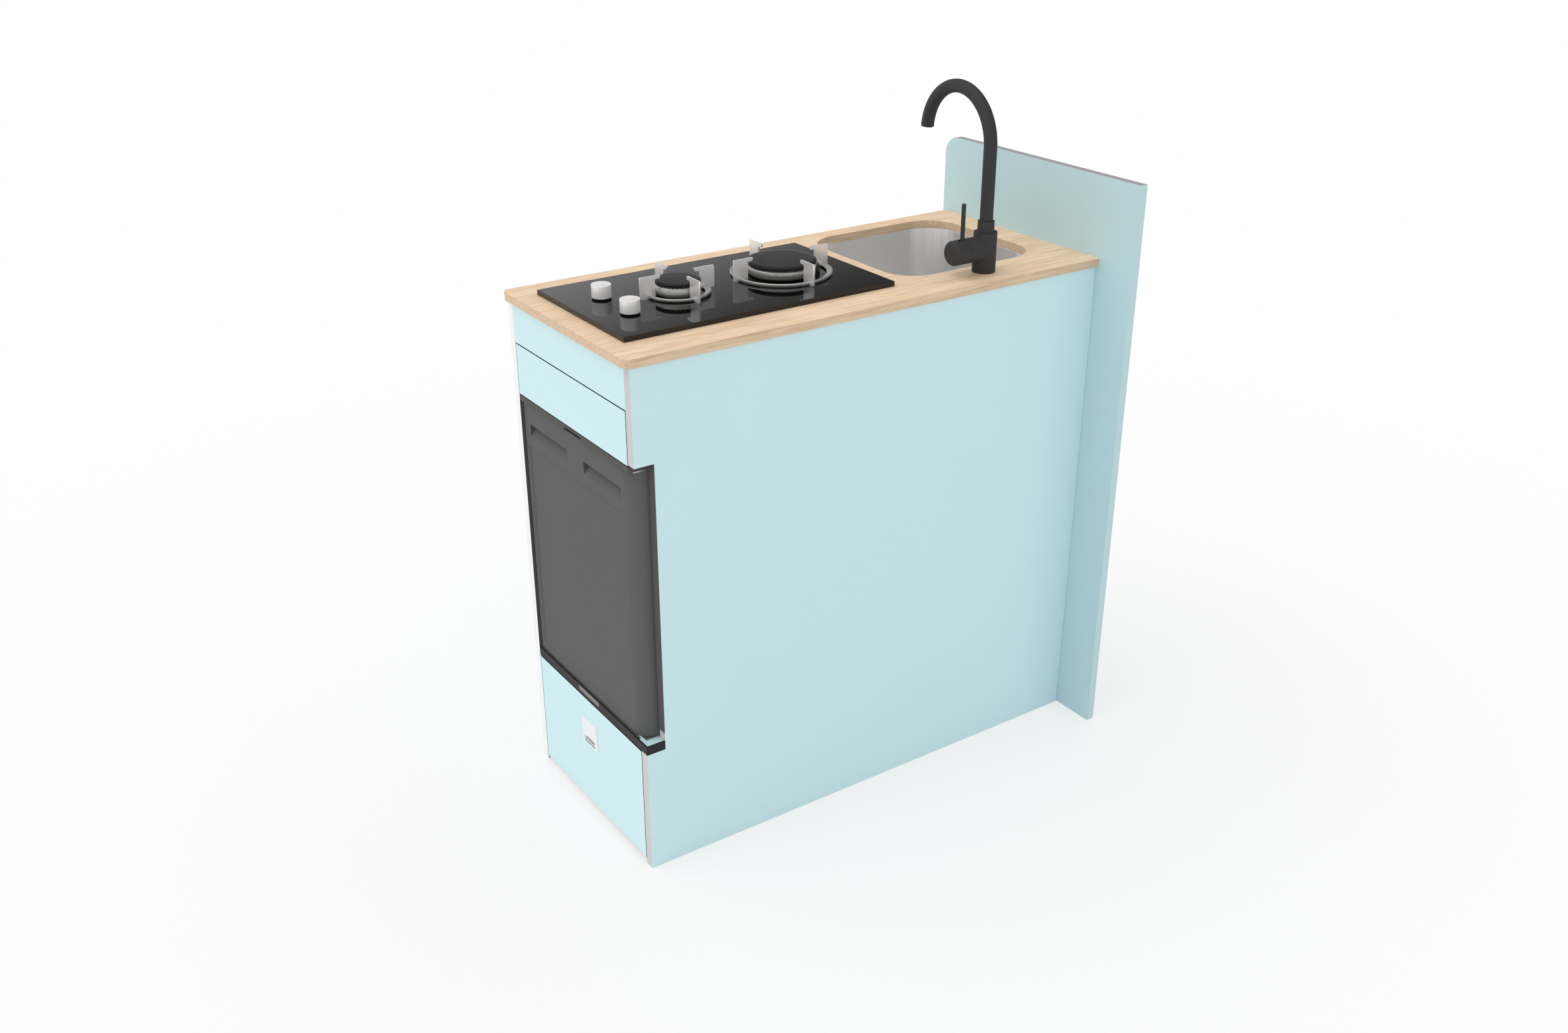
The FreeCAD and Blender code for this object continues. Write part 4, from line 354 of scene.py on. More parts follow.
def laminate(name, face, edge, axes):
    """Laminated board: coloured faces, and an edge colour where the cut edge shows: a pale core, or
    painted shade where a dark edge colour is given.
    """
    material, tree, shader = new_material(name)
    texture = place_group(
        tree, "fine",
        {"Colour": rgba(face), "Grain size": 420.0, "Colour change": 0.02,
         "Roughness": 0.42, "Roughness change": 0.05},
    )
    normal = tree.nodes.new("ShaderNodeTexCoord").outputs["Normal"]
    size = add(tree, "ShaderNodeVectorMath", {"operation": "ABSOLUTE"}, {0: normal})
    dot = add(tree, "ShaderNodeVectorMath", {"operation": "DOT_PRODUCT", 1: axes}, {0: size.outputs[0]})
    mask = add(tree, "ShaderNodeMapRange", {"From Min": 0.6, "From Max": 0.8},
               {"Value": dot.outputs["Value"]})
    mix = add(tree, "ShaderNodeMix", {"data_type": "RGBA"}, {0: mask.outputs[0]})
    tree.links.new(texture.outputs["Colour"], mix.inputs[6])
    mix.inputs[7].default_value = rgba(edge)
    tree.links.new(mix.outputs[2], shader.inputs["Base Color"])
    tree.links.new(texture.outputs["Roughness"], shader.inputs["Roughness"])
    bump(tree, shader, texture.outputs["Height"], 0.06, 0.00005)
    return material


def wood(name, light, dark, grain_length):
    """Oiled wood, figure along the worktop, with painted shade that darkens its upright faces."""
    upright_shade_share = 0.78
    material, tree, shader = new_material(name)
    grain = place_group(tree, "grain", {"Light": rgba(light), "Dark": rgba(dark),
                                        "Figure length": grain_length})
    normal = tree.nodes.new("ShaderNodeTexCoord").outputs["Normal"]
    # Painted shade: upright faces take a darker share of the wood colour.
    upright = add(tree, "ShaderNodeSeparateXYZ", {}, {0: normal})
    rise = add(tree, "ShaderNodeMath", {"operation": "ABSOLUTE"}, {0: upright.outputs["Z"]})
    share = add(tree, "ShaderNodeMapRange", {"From Min": 0.3, "From Max": 0.8, "To Min": upright_shade_share},
                {"Value": rise.outputs[0]})
    tint = add(tree, "ShaderNodeHueSaturation", {},
               {"Color": grain.outputs["Colour"], "Value": share.outputs[0]})
    tree.links.new(tint.outputs["Color"], shader.inputs["Base Color"])
    shader.inputs["Roughness"].default_value = 0.5
    bump(tree, shader, grain.outputs["Height"], 0.15, 0.0002)
    return material


def gloss_black(name, values, roughness, gloss=0.5):
    """Black glass or enamel with a trace of dust in its gloss."""
    material, tree, shader = new_material(name)
    texture = place_group(
        tree, "fine",
        {"Colour": rgba(values), "Grain size": 60.0, "Colour change": 0.1,
         "Roughness": roughness, "Roughness change": 0.04},
    )
    tree.links.new(texture.outputs["Colour"], shader.inputs["Base Color"])
    tree.links.new(texture.outputs["Roughness"], shader.inputs["Roughness"])
    shader.inputs["Specular IOR Level"].default_value = gloss
    return material


MATERIALS = {}


def build_materials(scene):
    """Every finish of the unit, by a plain name."""
    tone = scene.kitchenette_colours
    size = scene.kitchenette_sizes
    # Painted shade: the end panel takes darker copies of the panel's face and edge colours.
    shaded_end_face = tuple(channel * 0.84 for channel in tone.panel)
    shaded_end_edge = tuple(channel * 0.62 for channel in tone.panel_edge)
    MATERIALS.update({
        "panel": laminate("Panel laminate", tone.panel, tone.panel_edge, (0, 1, 1)),
        "wall_panel": laminate("Wall side laminate", tone.panel, tone.wall_edge, (0, 1, 1)),
        "shelf": laminate("Shelf laminate", tone.panel, tone.panel_edge, (0, 1, 0)),
        # Fascia and fronts: their edge colour is painted shade for the gaps between the parts.
        "fascia": laminate("Fascia laminate", tone.panel, tone.gap_shade_edge, (1, 0, 1)),
        "front": laminate("Front laminate", tone.panel, tone.gap_shade_edge, (1, 0, 1)),
        "end": laminate("End panel laminate with painted shade", shaded_end_face, shaded_end_edge, (0, 0, 1)),
        "oak": wood("Oiled oak", tone.oak, tone.oak_dark, size.grain_length),
        "ply": wood("Birch plywood", linear(226, 203, 168), linear(205, 178, 140),
                    size.grain_length * 2),
        "fridge": moulded("Fridge door plastic", tone.fridge, 0.75, gloss=0.25),
        "frame": moulded("Fridge frame plastic", tone.frame, 0.7, gloss=0.25),
        "trim": moulded("Trim plastic", tone.trim, 0.55, gloss=0.3),
        "insert": moulded("Insert plastic", linear(112, 112, 108), 0.45),
        "white": moulded("White plastic", linear(232, 234, 236), 0.35),
        "latch": moulded("Latch plate plastic", tone.latch, 0.3),
        "recess": moulded("Latch paddle plastic", linear(50, 50, 52), 0.5),
        "rubber": moulded("Seal rubber", linear(48, 48, 50), 0.7),
        "glass": gloss_black("Hob glass", tone.glass, 0.04),
        "enamel": gloss_black("Cap enamel", tone.enamel, 0.34, 0.2),
        "burner": moulded("Burner casting", tone.burner, 0.32, grain=1400.0, depth=0.05, metallic=0.75),
        "igniter": moulded("Spark block", linear(60, 58, 56), 0.4),
        "support": moulded("Pan support steel", linear(248, 247, 246), 0.3, depth=0.02, metallic=0.6),
        "ring": moulded("Pan ring steel", tone.ring, 0.3, depth=0.03, metallic=0.75),
        "knob": moulded("Knob metal", linear(250, 249, 248), 0.3, depth=0.01, change=0.02,
                        metallic=0.35),
        "knob_base": moulded("Knob base", linear(40, 40, 40), 0.4),
        "tap": moulded("Tap coat", tone.tap, 0.62, grain=2500.0, depth=0.1, gloss=0.25),
        "basin": brushed("Basin steel", tone.steel, 0.42, (40.0, 40.0, 900.0), metallic=0.8),
        "zinc": brushed("Zinc steel", linear(190, 192, 196), 0.35, (200.0, 30.0, 900.0)),
        "alu": brushed("Sheet aluminium", linear(206, 207, 209), 0.38, (60.0, 900.0, 60.0)),
        "dark_sheet": moulded("Dark painted sheet", linear(58, 58, 60), 0.5),
        "brass": moulded("Brass", linear(196, 160, 92), 0.32, metallic=1.0),
        "copper": moulded("Copper pipe", linear(196, 128, 92), 0.3, metallic=1.0),
        "chrome": brushed("Chrome wire", linear(225, 225, 226), 0.12, (40.0, 40.0, 40.0)),
    })


def dress(node, finish):
    """Give one CAD node its finish."""
    data = NODES[node].data
    data.materials.clear()
    data.materials.append(MATERIALS[finish])


def soften(node, width, segments=2):
    """Merge a CAD node's corners and round its sharp edges a little."""
    piece = NODES[node]
    weld = piece.modifiers.new("Merge", "WELD")
    weld.merge_threshold = 0.00001
    rounding = piece.modifiers.new("Round edges", "BEVEL")
    rounding.width = width
    rounding.segments = segments
    rounding.limit_method = "ANGLE"
    rounding.angle_limit = math.radians(50)
    rounding.harden_normals = True


# ---------------------------------------------------------------- mesh helpers
def finish_mesh(name, builder, finish, body, smooth_angle=35):
    """Turn a bmesh into a finished piece that rides on a body."""
    bmesh.ops.remove_doubles(builder, verts=builder.verts, dist=1e-6)
    bmesh.ops.recalc_face_normals(builder, faces=builder.faces)
    data = bpy.data.meshes.new(name)
    builder.to_mesh(data)
    builder.free()
    piece = bpy.data.objects.new(name, data)
    bpy.context.scene.collection.objects.link(piece)
    data.materials.append(MATERIALS[finish])
    data.shade_smooth()
    data.set_sharp_from_angle(angle=math.radians(smooth_angle))
    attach(piece, body)
    return piece


def turn(builder, profile, centre, steps):
    """Sweep a profile of (radius, height) points round an upright axis through a centre."""
    rings = []
    for radius, height in profile:
        ring = []
        for i in range(steps if radius > 1e-7 else 1):
            angle = 2 * math.pi * i / steps
            point = Vector((radius * math.cos(angle), radius * math.sin(angle), height))
            ring.append(builder.verts.new(point + centre))
        rings.append(ring)
    for low, high in zip(rings, rings[1:]):
        for i in range(steps):
            a, b = low[i % len(low)], low[(i + 1) % len(low)]
            c, d = high[(i + 1) % len(high)], high[i % len(high)]
            corners = list(dict.fromkeys((a, b, c, d)))
            if len(corners) > 2:
                builder.faces.new(corners)


def rounded(profile, radius, steps=4):
    """Replace the inner corners of an open profile by arcs of one radius."""
    points = [Vector((a, b)) for a, b in profile]
    made = [points[0]]
    for before, corner, after in zip(points, points[1:], points[2:]):
        way_in = corner - before
        way_out = after - corner
        reach = min(radius, way_in.length * 0.49, way_out.length * 0.49)
        start = corner - way_in.normalized() * reach
        end = corner + way_out.normalized() * reach
        for i in range(steps + 1):
            t = i / steps
            made.append(start * (1 - t) ** 2 + corner * (2 * t * (1 - t)) + end * t ** 2)
    made.append(points[-1])
    return [(p.x, p.y) for p in made]


def sweep(builder, path, radius, steps):
    """A round tube, open at both ends, through a list of points."""
    rings = []
    side = None
    for i, point in enumerate(path):
        ahead = (path[min(i + 1, len(path) - 1)] - path[max(i - 1, 0)]).normalized()
        if side is None:
            side = ahead.orthogonal().normalized()
        side = (side - ahead * side.dot(ahead)).normalized()
        up = ahead.cross(side)
        ring = []
        for k in range(steps):
            angle = 2 * math.pi * k / steps
            arm = side * math.cos(angle) + up * math.sin(angle)
            ring.append(builder.verts.new(point + arm * radius))
        rings.append(ring)
    for low, high in zip(rings, rings[1:]):
        for k in range(steps):
            builder.faces.new((low[k], low[(k + 1) % steps], high[(k + 1) % steps], high[k]))


def plate(builder, outline, thick, foot, angle):
    """An upright plate: an outline of (reach, height) points, thickened and turned about a foot."""
    ahead = Vector((math.cos(angle), math.sin(angle), 0))
    aside = Vector((-math.sin(angle), math.cos(angle), 0))
    sides = []
    for shift in (-thick / 2, thick / 2):
        corners = [foot + ahead * r + aside * shift + Vector((0, 0, z)) for r, z in outline]
        sides.append([builder.verts.new(corner) for corner in corners])
    left, right = sides
    builder.faces.new(left)
    builder.faces.new(right[::-1])
    for i in range(len(outline)):
        k = (i + 1) % len(outline)
        builder.faces.new((left[i], right[i], right[k], left[k]))


def cuboid(builder, low, high):
    middle = (Vector(low) + Vector(high)) / 2
    size = Vector(high) - Vector(low)
    grid = Matrix.Translation(middle) @ Matrix.Diagonal((*size, 1.0))
    bmesh.ops.create_cube(builder, size=1.0, matrix=grid)


# ---------------------------------------------------------------- geometry nodes
def socket_of(tree, label):
    """The identifier of one named input of a tree."""
    for item in tree.interface.items_tree:
        if item.item_type == "SOCKET" and item.in_out == "INPUT" and item.name == label:
            return item.identifier
    raise KeyError(label)


def grown(name, tree, values):
    """Run a geometry-nodes tree with its named inputs set, and keep the plain mesh it makes."""
    seed = bpy.data.objects.new(name + "_seed", bpy.data.meshes.new(name + "_seed"))
    bpy.context.scene.collection.objects.link(seed)
    modifier = seed.modifiers.new("Grow", "NODES")
    modifier.node_group = tree
    for label, value in values.items():
        modifier[socket_of(tree, label)] = value
    seed.update_tag()
    evaluated = seed.evaluated_get(bpy.context.evaluated_depsgraph_get())
    data = bpy.data.meshes.new_from_object(evaluated)
    seed.modifiers.remove(modifier)
    bpy.data.objects.remove(seed)
    data.name = name
    piece = bpy.data.objects.new(name, data)
    bpy.context.scene.collection.objects.link(piece)
    return piece


def new_tree(name, inputs):
    """An empty geometry-nodes tree with its named inputs and one mesh output."""
    tree = bpy.data.node_groups.new(name, "GeometryNodeTree")
    for label, kind, value in inputs:
        socket = tree.interface.new_socket(label, in_out="INPUT", socket_type=kind)
        if value is not None:
            socket.default_value = value
    tree.interface.new_socket("Mesh", in_out="OUTPUT", socket_type="NodeSocketGeometry")
    return tree, tree.nodes.new("NodeGroupInput"), tree.nodes.new("NodeGroupOutput")


def end_tree(tree, given, made, instances):
    """The closing steps of each tree: real mesh, and its finish."""
    real = add(tree, "GeometryNodeRealizeInstances", {}, {0: instances})
    finish = add(tree, "GeometryNodeSetMaterial", {},
                 {"Geometry": real.outputs[0], "Material": given.outputs["Finish"]})
    tree.links.new(finish.outputs[0], made.inputs[0])


def round_tree():
    """Blocks set round an upright axis, each turned to face outwards."""
    label = "Round row"
    if label in bpy.data.node_groups:
        return bpy.data.node_groups[label]
    tree, given, made = new_tree(label, [
        ("Count", "NodeSocketInt", 12),
        ("Radius", "NodeSocketFloat", 0.03),
        ("Centre", "NodeSocketVector", (0.0, 0.0, 0.0)),
        ("Post", "NodeSocketVector", (0.002, 0.002, 0.002)),
        ("Finish", "NodeSocketMaterial", None),
    ])
    index = tree.nodes.new("GeometryNodeInputIndex")
    share = add(tree, "ShaderNodeMath", {"operation": "DIVIDE"},
                {0: index.outputs[0], 1: given.outputs["Count"]})
    angle = add(tree, "ShaderNodeMath", {"operation": "MULTIPLY", 1: 2 * math.pi}, {0: share.outputs[0]})
    across = add(tree, "ShaderNodeMath", {"operation": "COSINE"}, {0: angle.outputs[0]})
    along = add(tree, "ShaderNodeMath", {"operation": "SINE"}, {0: angle.outputs[0]})
    unit = add(tree, "ShaderNodeCombineXYZ", {}, {"X": across.outputs[0], "Y": along.outputs[0]})
    arm = add(tree, "ShaderNodeVectorMath", {"operation": "SCALE"},
              {0: unit.outputs[0], "Scale": given.outputs["Radius"]})
    place = add(tree, "ShaderNodeVectorMath", {"operation": "ADD"},
                {0: arm.outputs[0], 1: given.outputs["Centre"]})
    points = add(tree, "GeometryNodePoints", {},
                 {"Count": given.outputs["Count"], "Position": place.outputs[0]})
    block = add(tree, "GeometryNodeMeshCube", {}, {"Size": given.outputs["Post"]})
    lean = add(tree, "ShaderNodeCombineXYZ", {}, {"Z": angle.outputs[0]})
    facing = add(tree, "FunctionNodeEulerToRotation", {}, {0: lean.outputs[0]})
    row = add(tree, "GeometryNodeInstanceOnPoints", {},
              {"Points": points.outputs[0], "Instance": block.outputs["Mesh"],
               "Rotation": facing.outputs[0]})
    end_tree(tree, given, made, row.outputs[0])
    return tree


# ---------------------------------------------------------------- stage
def seen_rays(tree):
    """One for rays from the camera and for those that metal or glass sends on."""
    path = tree.nodes.new("ShaderNodeLightPath")
    seen = add(tree, "ShaderNodeMath", {"operation": "MAXIMUM"},
               {0: path.outputs["Is Camera Ray"], 1: path.outputs["Is Glossy Ray"]})
    seen = add(tree, "ShaderNodeMath", {"operation": "MAXIMUM"},
               {0: seen.outputs[0], 1: path.outputs["Is Transmission Ray"]})
    return seen.outputs[0]


class KITCHENETTE_OT_stage(bpy.types.Operator):
    """Lay the pale floor, hang the lamps and set the camera"""
    bl_idname = "kitchenette.stage"
    bl_label = "Stage"

    def execute(self, context):
        scene = context.scene
        settings = scene.kitchenette_stage
        scene.view_settings.view_transform = "Standard"
        self.floor(scene)
        self.world(scene, settings)
        self.key_light(scene, settings.sun)
        self.camera(scene, settings)
        return {"FINISHED"}

    def floor(self, scene):
        """A pale floor that takes the shadow and fades to white away from the unit."""
        builder = bmesh.new()
        reach = 40.0
        pale = 0.9
        lit_share = 0.6
        fade_start, fade_end = 0.7, 2.6
        bmesh.ops.create_grid(builder, x_segments=1, y_segments=1, size=reach)
        data = bpy.data.meshes.new("Floor")
        builder.to_mesh(data)
        builder.free()
        piece = bpy.data.objects.new("Floor", data)
        scene.collection.objects.link(piece)
        material, tree, shader = new_material("Pale floor")
        shader.inputs["Base Color"].default_value = (pale, pale, pale, 1)
        shader.inputs["Roughness"].default_value = 0.9
        shader.inputs["Specular IOR Level"].default_value = 0.1
        distance = add(tree, "ShaderNodeVectorMath", {"operation": "LENGTH"}, {0: object_point(tree)})
        fade = add(tree, "ShaderNodeMapRange",
                   {"interpolation_type": "SMOOTHSTEP", "From Min": fade_start,
                    "From Max": fade_end, "To Min": lit_share},
                   {"Value": distance.outputs["Value"]})
        mask = add(tree, "ShaderNodeMath", {"operation": "MULTIPLY"},
                   {0: fade.outputs["Result"], 1: seen_rays(tree)})
        white = add(tree, "ShaderNodeEmission", {"Strength": 1.0, "Color": (1, 1, 1, 1)})
        mix = add(tree, "ShaderNodeMixShader", {},
                  {0: mask.outputs[0], 1: shader.outputs[0], 2: white.outputs[0]})
        tree.links.new(mix.outputs[0], tree.nodes["Material Output"].inputs["Surface"])
        data.materials.append(material)

    def world(self, scene, settings):
        """A white room with a brighter front side, and a dim far side that glass and metal show."""
        world = bpy.data.worlds.new("Studio")
        world.use_nodes = True
        scene.world = world
        tree = world.node_tree
        lighting = tree.nodes["Background"]
        lighting.inputs["Color"].default_value = (1, 1, 1, 1)
        toward = add(tree, "ShaderNodeSeparateXYZ", {}, {0: object_point(tree)})
        front = add(tree, "ShaderNodeMapRange",
                    {"From Min": 0.1, "From Max": -1.0, "To Min": settings.sky,
                     "To Max": settings.sky + settings.side_light},
                    {"Value": toward.outputs["Y"]})
        slant = add(tree, "ShaderNodeMath", {"operation": "MULTIPLY_ADD", 1: 2.2},
                    {0: toward.outputs["Z"], 2: toward.outputs["Y"]})
        wall = add(tree, "ShaderNodeMapRange", {"interpolation_type": "SMOOTHSTEP", "From Min": 1.0,
                                                "From Max": 1.24, "To Min": 0.8, "To Max": 0.1},
                   {"Value": slant.outputs[0]})
        ceiling = add(tree, "ShaderNodeMapRange", {"interpolation_type": "SMOOTHSTEP", "From Min": 0.5,
                                                   "From Max": 0.85, "To Max": 1.0},
                      {"Value": toward.outputs["Z"]})
        gleam = add(tree, "ShaderNodeMath", {"operation": "MAXIMUM"},
                    {0: wall.outputs[0], 1: ceiling.outputs[0]})
        path = tree.nodes.new("ShaderNodeLightPath")
        strength = add(tree, "ShaderNodeMix", {"data_type": "FLOAT"},
                       {0: path.outputs["Is Glossy Ray"], 2: front.outputs[0], 3: gleam.outputs[0]})
        tree.links.new(strength.outputs[0], lighting.inputs["Strength"])
        backdrop = add(tree, "ShaderNodeBackground", {"Strength": 1.0, "Color": (1, 1, 1, 1)})
        seen = add(tree, "ShaderNodeMath", {"operation": "MAXIMUM"},
                   {0: path.outputs["Is Camera Ray"], 1: path.outputs["Is Transmission Ray"]})
        mix = add(tree, "ShaderNodeMixShader", {},
                  {0: seen.outputs[0], 1: lighting.outputs[0], 2: backdrop.outputs[0]})
        tree.links.new(mix.outputs[0], tree.nodes["World Output"].inputs["Surface"])

    def key_light(self, scene, strength):
        """One broad lamp from above, in front and to the left."""
        data = bpy.data.lights.new("Key light", "SUN")
        data.energy = strength
        data.angle = math.radians(50)
        shines_along = Vector((0.35, 0.5, -1.0))
        lamp = bpy.data.objects.new("Key light", data)
        scene.collection.objects.link(lamp)
        lamp.rotation_euler = shines_along.to_track_quat("-Z", "Y").to_euler()

    def camera(self, scene, settings):
        data = bpy.data.cameras.new("Camera")
        data.lens = settings.lens
        data.sensor_width = 36.0
        camera = bpy.data.objects.new("Camera", data)
        scene.collection.objects.link(camera)
        turn_angle, rise = settings.azimuth, settings.elevation
        back = Vector((
            math.sin(turn_angle) * math.cos(rise),
            -math.cos(turn_angle) * math.cos(rise),
            math.sin(rise),
        ))
        camera.location = settings.place
        camera.rotation_euler = (-back).to_track_quat("-Z", "Y").to_euler()
        scene.camera = camera


# ---------------------------------------------------------------- pieces
class KITCHENETTE_OT_boards(bpy.types.Operator):
    """Dress the panels, shelves and fascia of the carcass"""
    bl_idname = "kitchenette.boards"
    bl_label = "Boards"

    def execute(self, context):
        width = context.scene.kitchenette_sizes.edge_round
        finishes = {
            "side_panel_right": "panel",
            "side_panel_left": "wall_panel",
            # end: the darker laminate with painted shade
            "end_panel": "end",
            "fridge_board": "shelf",
            "fascia_rail": "fascia",
            "bottom_board": "ply",
            "drawer_deck": "ply",
            "partition_board": "ply",
        }
        for node, finish in finishes.items():
            dress(node, finish)
            soften(node, width)
        return {"FINISHED"}


class KITCHENETTE_OT_worktop(bpy.types.Operator):
    """Dress the oak worktop"""
    bl_idname = "kitchenette.worktop"
    bl_label = "Worktop"

    def execute(self, context):
        dress("worktop", "oak")
        soften("worktop", context.scene.kitchenette_sizes.oak_round, 3)
        return {"FINISHED"}


class KITCHENETTE_OT_drawers(bpy.types.Operator):
    """Dress the drawer fronts, boxes and runners, and the drawer's latch"""
    bl_idname = "kitchenette.drawers"
    bl_label = "Drawers"

    def execute(self, context):
        width = context.scene.kitchenette_sizes.edge_round
        for node in ("upper_drawer_front", "lower_drawer_front"):
            dress(node, "front")
            soften(node, width)
        for node in ("upper_drawer_box", "lower_drawer_box"):
            dress(node, "ply")
            soften(node, width)
        metal = ("upper_runner_middles", "upper_runner_slides", "lower_runner_middles",
                 "lower_runner_slides", "runner_rails", "latch_bolt", "latch_strike")
        for node in metal:
            dress(node, "zinc")
        dress("latch_housing", "latch")
        soften("latch_housing", 0.5 * MM)
        dress("latch_paddle", "recess")
        return {"FINISHED"}


class KITCHENETTE_OT_fridge(bpy.types.Operator):
    """Dress the fridge, its door, frame and trim, and add painted shade past the door"""
    bl_idname = "kitchenette.fridge"
    bl_label = "Fridge"

    def execute(self, context):
        finishes = {
            "fridge_cabinet": "dark_sheet",
            "fridge_liner": "white",
            "fridge_frame": "frame",
            "niche_trim": "trim",
            "trim_insert": "insert",
            "door_shell": "fridge",
            "door_liner": "white",
            "door_gasket": "rubber",
            "door_hinges": "zinc",
            "door_latch": "frame",
            "wire_shelf": "chrome",
            "freezer_box": "alu",
            "freezer_flap": "white",
            "compressor": "dark_sheet",
            "condenser": "alu",
            "thermostat_knob": "white",
        }
        for node, finish in finishes.items():
            dress(node, finish)
        for node in ("fridge_frame", "niche_trim", "door_liner", "freezer_flap"):
            soften(node, 0.6 * MM)
        soften("door_shell", 1.2 * MM, 3)
        self.strips()
        return {"FINISHED"}

    def strips(self):
        """Dark sheets of painted shade in the gaps past the door's left edge and under it."""
        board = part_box("side_panel_left")[1]
        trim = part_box("niche_trim")[1]
        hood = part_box("fridge_frame")[1]
        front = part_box("side_panel_right")[0].y
        facing = 0.4 * MM
        depth = 30.0 * MM
        hood_drop = 11.0 * MM
        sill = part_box("fridge_board")[1].z
        shade_strip_length, shade_strip_height = 370.0 * MM, 1.2 * MM
        shade_strip_front, shade_strip_back = front + 3.2 * MM, front + 6.5 * MM
        # Painted shade: a thin dark sheet on the left board's inner face, and a dark strip on the board
        # under the door.
        builder = bmesh.new()
        cuboid(builder, (board.x, front, trim.z), (board.x + facing, front + depth, hood.z - hood_drop))
        cuboid(builder, (board.x, shade_strip_front, sill),
               (board.x + shade_strip_length, shade_strip_back, sill + shade_strip_height))
        piece = finish_mesh("niche_painted_shade_sheets", builder, "frame", "carcass")


class KITCHENETTE_OT_hob(bpy.types.Operator):
    """Build the burners' caps and ports, the pan supports and knobs, and dress the glass"""
    bl_idname = "kitchenette.hob"
    bl_label = "Hob"
    CAP_THICKNESS = 4.5 * MM

    def execute(self, context):
        sizes = context.scene.kitchenette_sizes
        dress("hob_glass", "glass")
        soften("hob_glass", 0.7 * MM, 3)
        dress("hob_tray", "dark_sheet")
        dress("gas_valves", "brass")
        dress("gas_pipe", "copper")
        dress("igniters", "igniter")
        soften("igniters", 1.0 * MM)
        dress("burner_bodies", "burner")
        soften("burner_bodies", 0.5 * MM)
        rings = {"small": 55.5 * MM, "large": 88.0 * MM}
        ports = {"small": 30, "large": 48}
        for name in ("small", "large"):
            self.support(name, rings[name], sizes.ring_width, sizes.ring_height)
            self.cap(name)
            self.ports(name, ports[name], sizes.port_width)
            self.knob(name, sizes.knob_rib)
        return {"FINISHED"}

    def support(self, name, ring_radius, ring_width, ring_height):
        """A dished steel ring with four upright blades whose lips point inwards."""
        node = f"pan_support_{name}"
        low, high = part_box(node)
        foot = Vector(((low.x + high.x) / 2, (low.y + high.y) / 2, low.z))
        reach = (high.x - low.x) / 2
        inner = ring_radius - ring_width
        clear = 1.5 * MM
        section = rounded([
            (inner, clear + 1.5 * MM),
            (ring_radius - 3 * MM, clear),
            (ring_radius, clear),
            (ring_radius, ring_height),
            (ring_radius - 3 * MM, ring_height),
            (inner, ring_height - 2.5 * MM),
            (inner, clear + 1.5 * MM),
        ], 1.3 * MM)
        builder = bmesh.new()
        turn(builder, section, foot, 128)
        for face in builder.faces:
            face.material_index = 1
        leg, lip, thick = 28.0 * MM, 6.0 * MM, 3.0 * MM
        tips = {"small": 32.0 * MM, "large": 58.0 * MM}
        height = high.z - low.z
        outline = rounded([
            (reach - leg / 2, 0),
            (reach, 0),
            (reach, height),
            (tips[name], height),
            (tips[name] + 1.5 * MM, height - lip),
            (reach - leg, height - lip),
            (reach - leg, 0),
            (reach - leg / 2, 0),
        ], 2.0 * MM)
        for quarter in range(4):
            plate(builder, outline[:-1], thick, foot, quarter * math.pi / 2)
        piece = finish_mesh(f"pan_rest_{name}", builder, "support", BODY_OF[node])
        piece.data.materials.append(MATERIALS["ring"])
        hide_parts(node)

    def cap(self, name):
        node = f"burner_cap_{name}"
        low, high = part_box(node)
        middle = (low + high) / 2
        radius = (high.x - low.x) / 2
        top = high.z - low.z
        thick = self.CAP_THICKNESS
        neck, shoulder, crown = radius * 0.34, radius * 0.85, radius * 0.9
        profile = rounded([
            (0, 0),
            (neck, 0),
            (neck, top - thick - 2.5 * MM),
            (shoulder, top - thick - 0.6 * MM),
            (radius, top - thick),
            (radius, top - thick * 0.3),
            (crown, top),
            (0, top),
        ], 1.2 * MM)
        builder = bmesh.new()
        turn(builder, profile, Vector((middle.x, middle.y, low.z)), 96)
        piece = finish_mesh(f"cap_{name}", builder, "enamel", BODY_OF[node])
        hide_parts(node)

    def ports(self, name, count, width):
        """Posts between the flame ports, set round the burner's head under the cap."""
        low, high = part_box(f"burner_cap_{name}")
        middle = (low + high) / 2
        radius = (high.x - low.x) / 2
        gap = 2.0 * MM
        clear = 0.35 * MM
        top = high.z - self.CAP_THICKNESS - clear
        ring_share, post_share = 0.83, 0.08
        values = {
            "Count": count,
            "Radius": radius * ring_share,
            "Centre": (middle.x, middle.y, top - gap / 2),
            "Post": (radius * post_share, width, gap),
            "Finish": MATERIALS["burner"],
        }
        piece = grown(f"flame_ports_{name}", round_tree(), values)
        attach(piece, BODY_OF["burner_bodies"])

    def knob(self, name, rib):
        node = f"knob_{name}"
        low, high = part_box(node)
        middle = (low + high) / 2
        radius = (high.x - low.x) / 2
        height = high.z - low.z
        bore = 4.05 * MM
        depth = 15.5 * MM
        waist = radius * 0.97
        profile = rounded([
            (bore, 0),
            (waist, 0),
            (waist, rib),
            (radius, rib),
            (radius, height),
            (0, height),
        ], 0.9 * MM, 5)
        foot = Vector((middle.x, middle.y, low.z))
        builder = bmesh.new()
        turn(builder, profile, foot, 96)
        turn(builder, [(bore, 0), (bore, depth), (0, depth)], foot, 96)
        piece = finish_mesh(f"turning_{name}_knob", builder, "knob", BODY_OF[node])
        piece.data.materials.append(MATERIALS["knob_base"])
        for face in piece.data.polygons:
            if face.center.z < low.z + rib:
                face.material_index = 1
        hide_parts(node)


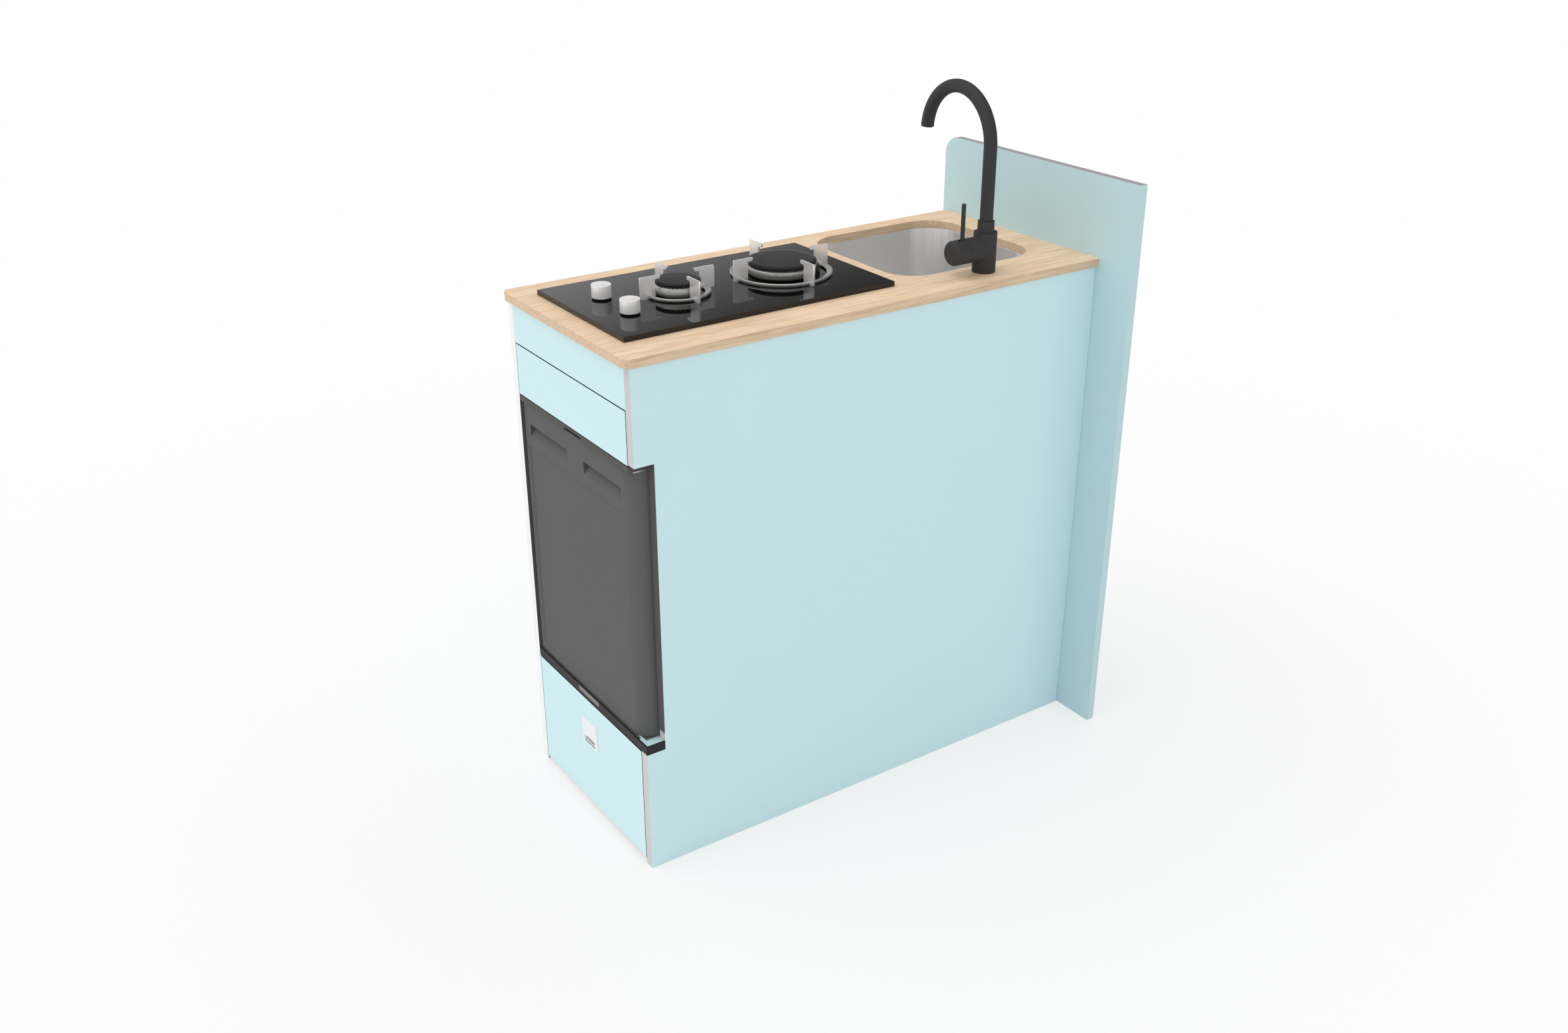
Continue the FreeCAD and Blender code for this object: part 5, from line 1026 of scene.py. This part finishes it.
class KITCHENETTE_OT_sink(bpy.types.Operator):
    """Dress the basin, its clips, waste and trap"""
    bl_idname = "kitchenette.sink"
    bl_label = "Sink"

    def execute(self, context):
        dress("sink_basin", "basin")
        soften("sink_basin", 0.3 * MM)
        dress("sink_clips", "zinc")
        dress("waste_fitting", "basin")
        dress("strainer_basket", "basin")
        dress("waste_trap", "white")
        return {"FINISHED"}


class KITCHENETTE_OT_tap(bpy.types.Operator):
    """Build the tap's body, gooseneck, mixer cap and lever"""
    bl_idname = "kitchenette.tap"
    bl_label = "Tap"

    def execute(self, context):
        for node in ("tap_body", "tap_mixer_cap", "tap_lever"):
            dress(node, "tap")
            soften(node, 0.8 * MM, 3)
        dress("tap_fixing", "zinc")
        self.spout()
        return {"FINISHED"}

    def spout(self):
        low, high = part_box("tap_spout")
        radius = 11.5 * MM
        bend = 88.7 * MM
        wall = 1.6 * MM
        foot = Vector((120.0 * MM, 250.5 * MM, low.z))
        aim = math.radians(177.5)
        sweep_angle = math.radians(175.0)
        ahead = Vector((math.cos(aim), math.sin(aim), 0))
        shoulder = Vector((foot.x, foot.y, high.z - bend - radius))
        centre = shoulder + ahead * bend
        straight, turns, sides = 8, 48, 48
        path = [foot.lerp(shoulder, i / straight) for i in range(straight + 1)]
        for i in range(1, turns + 1):
            angle = sweep_angle * i / turns
            rise = Vector((0, 0, bend * math.sin(angle)))
            path.append(centre - ahead * (bend * math.cos(angle)) + rise)
        builder = bmesh.new()
        sweep(builder, path, radius, sides)
        sweep(builder, path[-6:], radius - wall, sides)
        piece = finish_mesh("gooseneck", builder, "tap", "tap_spout")
        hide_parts("tap_spout")


# ---------------------------------------------------------------- panel and registration
class KITCHENETTE_PT_panel(bpy.types.Panel):
    """Lists the groups of pieces in the order in which they are built"""
    bl_label = "Kitchenette"
    bl_idname = "KITCHENETTE_PT_panel"
    bl_space_type = "VIEW_3D"
    bl_region_type = "UI"
    bl_category = "Kitchenette"

    def draw(self, context):
        for operator in OPERATORS:
            self.layout.operator(operator.bl_idname)
        for group in (context.scene.kitchenette_colours, context.scene.kitchenette_sizes):
            box = self.layout.box()
            for key in group.__annotations__:
                box.prop(group, key)


OPERATORS = (
    KITCHENETTE_OT_stage,
    KITCHENETTE_OT_boards,
    KITCHENETTE_OT_worktop,
    KITCHENETTE_OT_drawers,
    KITCHENETTE_OT_fridge,
    KITCHENETTE_OT_hob,
    KITCHENETTE_OT_sink,
    KITCHENETTE_OT_tap,
)
CLASSES = (KitchenetteColours, KitchenetteSizes, KitchenetteStage, *OPERATORS, KITCHENETTE_PT_panel)


def register():
    for item in CLASSES:
        bpy.utils.register_class(item)
    bpy.types.Scene.kitchenette_colours = bpy.props.PointerProperty(type=KitchenetteColours)
    bpy.types.Scene.kitchenette_sizes = bpy.props.PointerProperty(type=KitchenetteSizes)
    bpy.types.Scene.kitchenette_stage = bpy.props.PointerProperty(type=KitchenetteStage)


def unregister():
    del bpy.types.Scene.kitchenette_stage
    del bpy.types.Scene.kitchenette_sizes
    del bpy.types.Scene.kitchenette_colours
    for item in reversed(CLASSES):
        bpy.utils.unregister_class(item)


def main():
    """Build everything in order."""
    register()
    build_materials(bpy.context.scene)
    for operator in OPERATORS:
        group, name = operator.bl_idname.split(".")
        getattr(getattr(bpy.ops, group), name)()


if __name__ == "__main__":
    main()
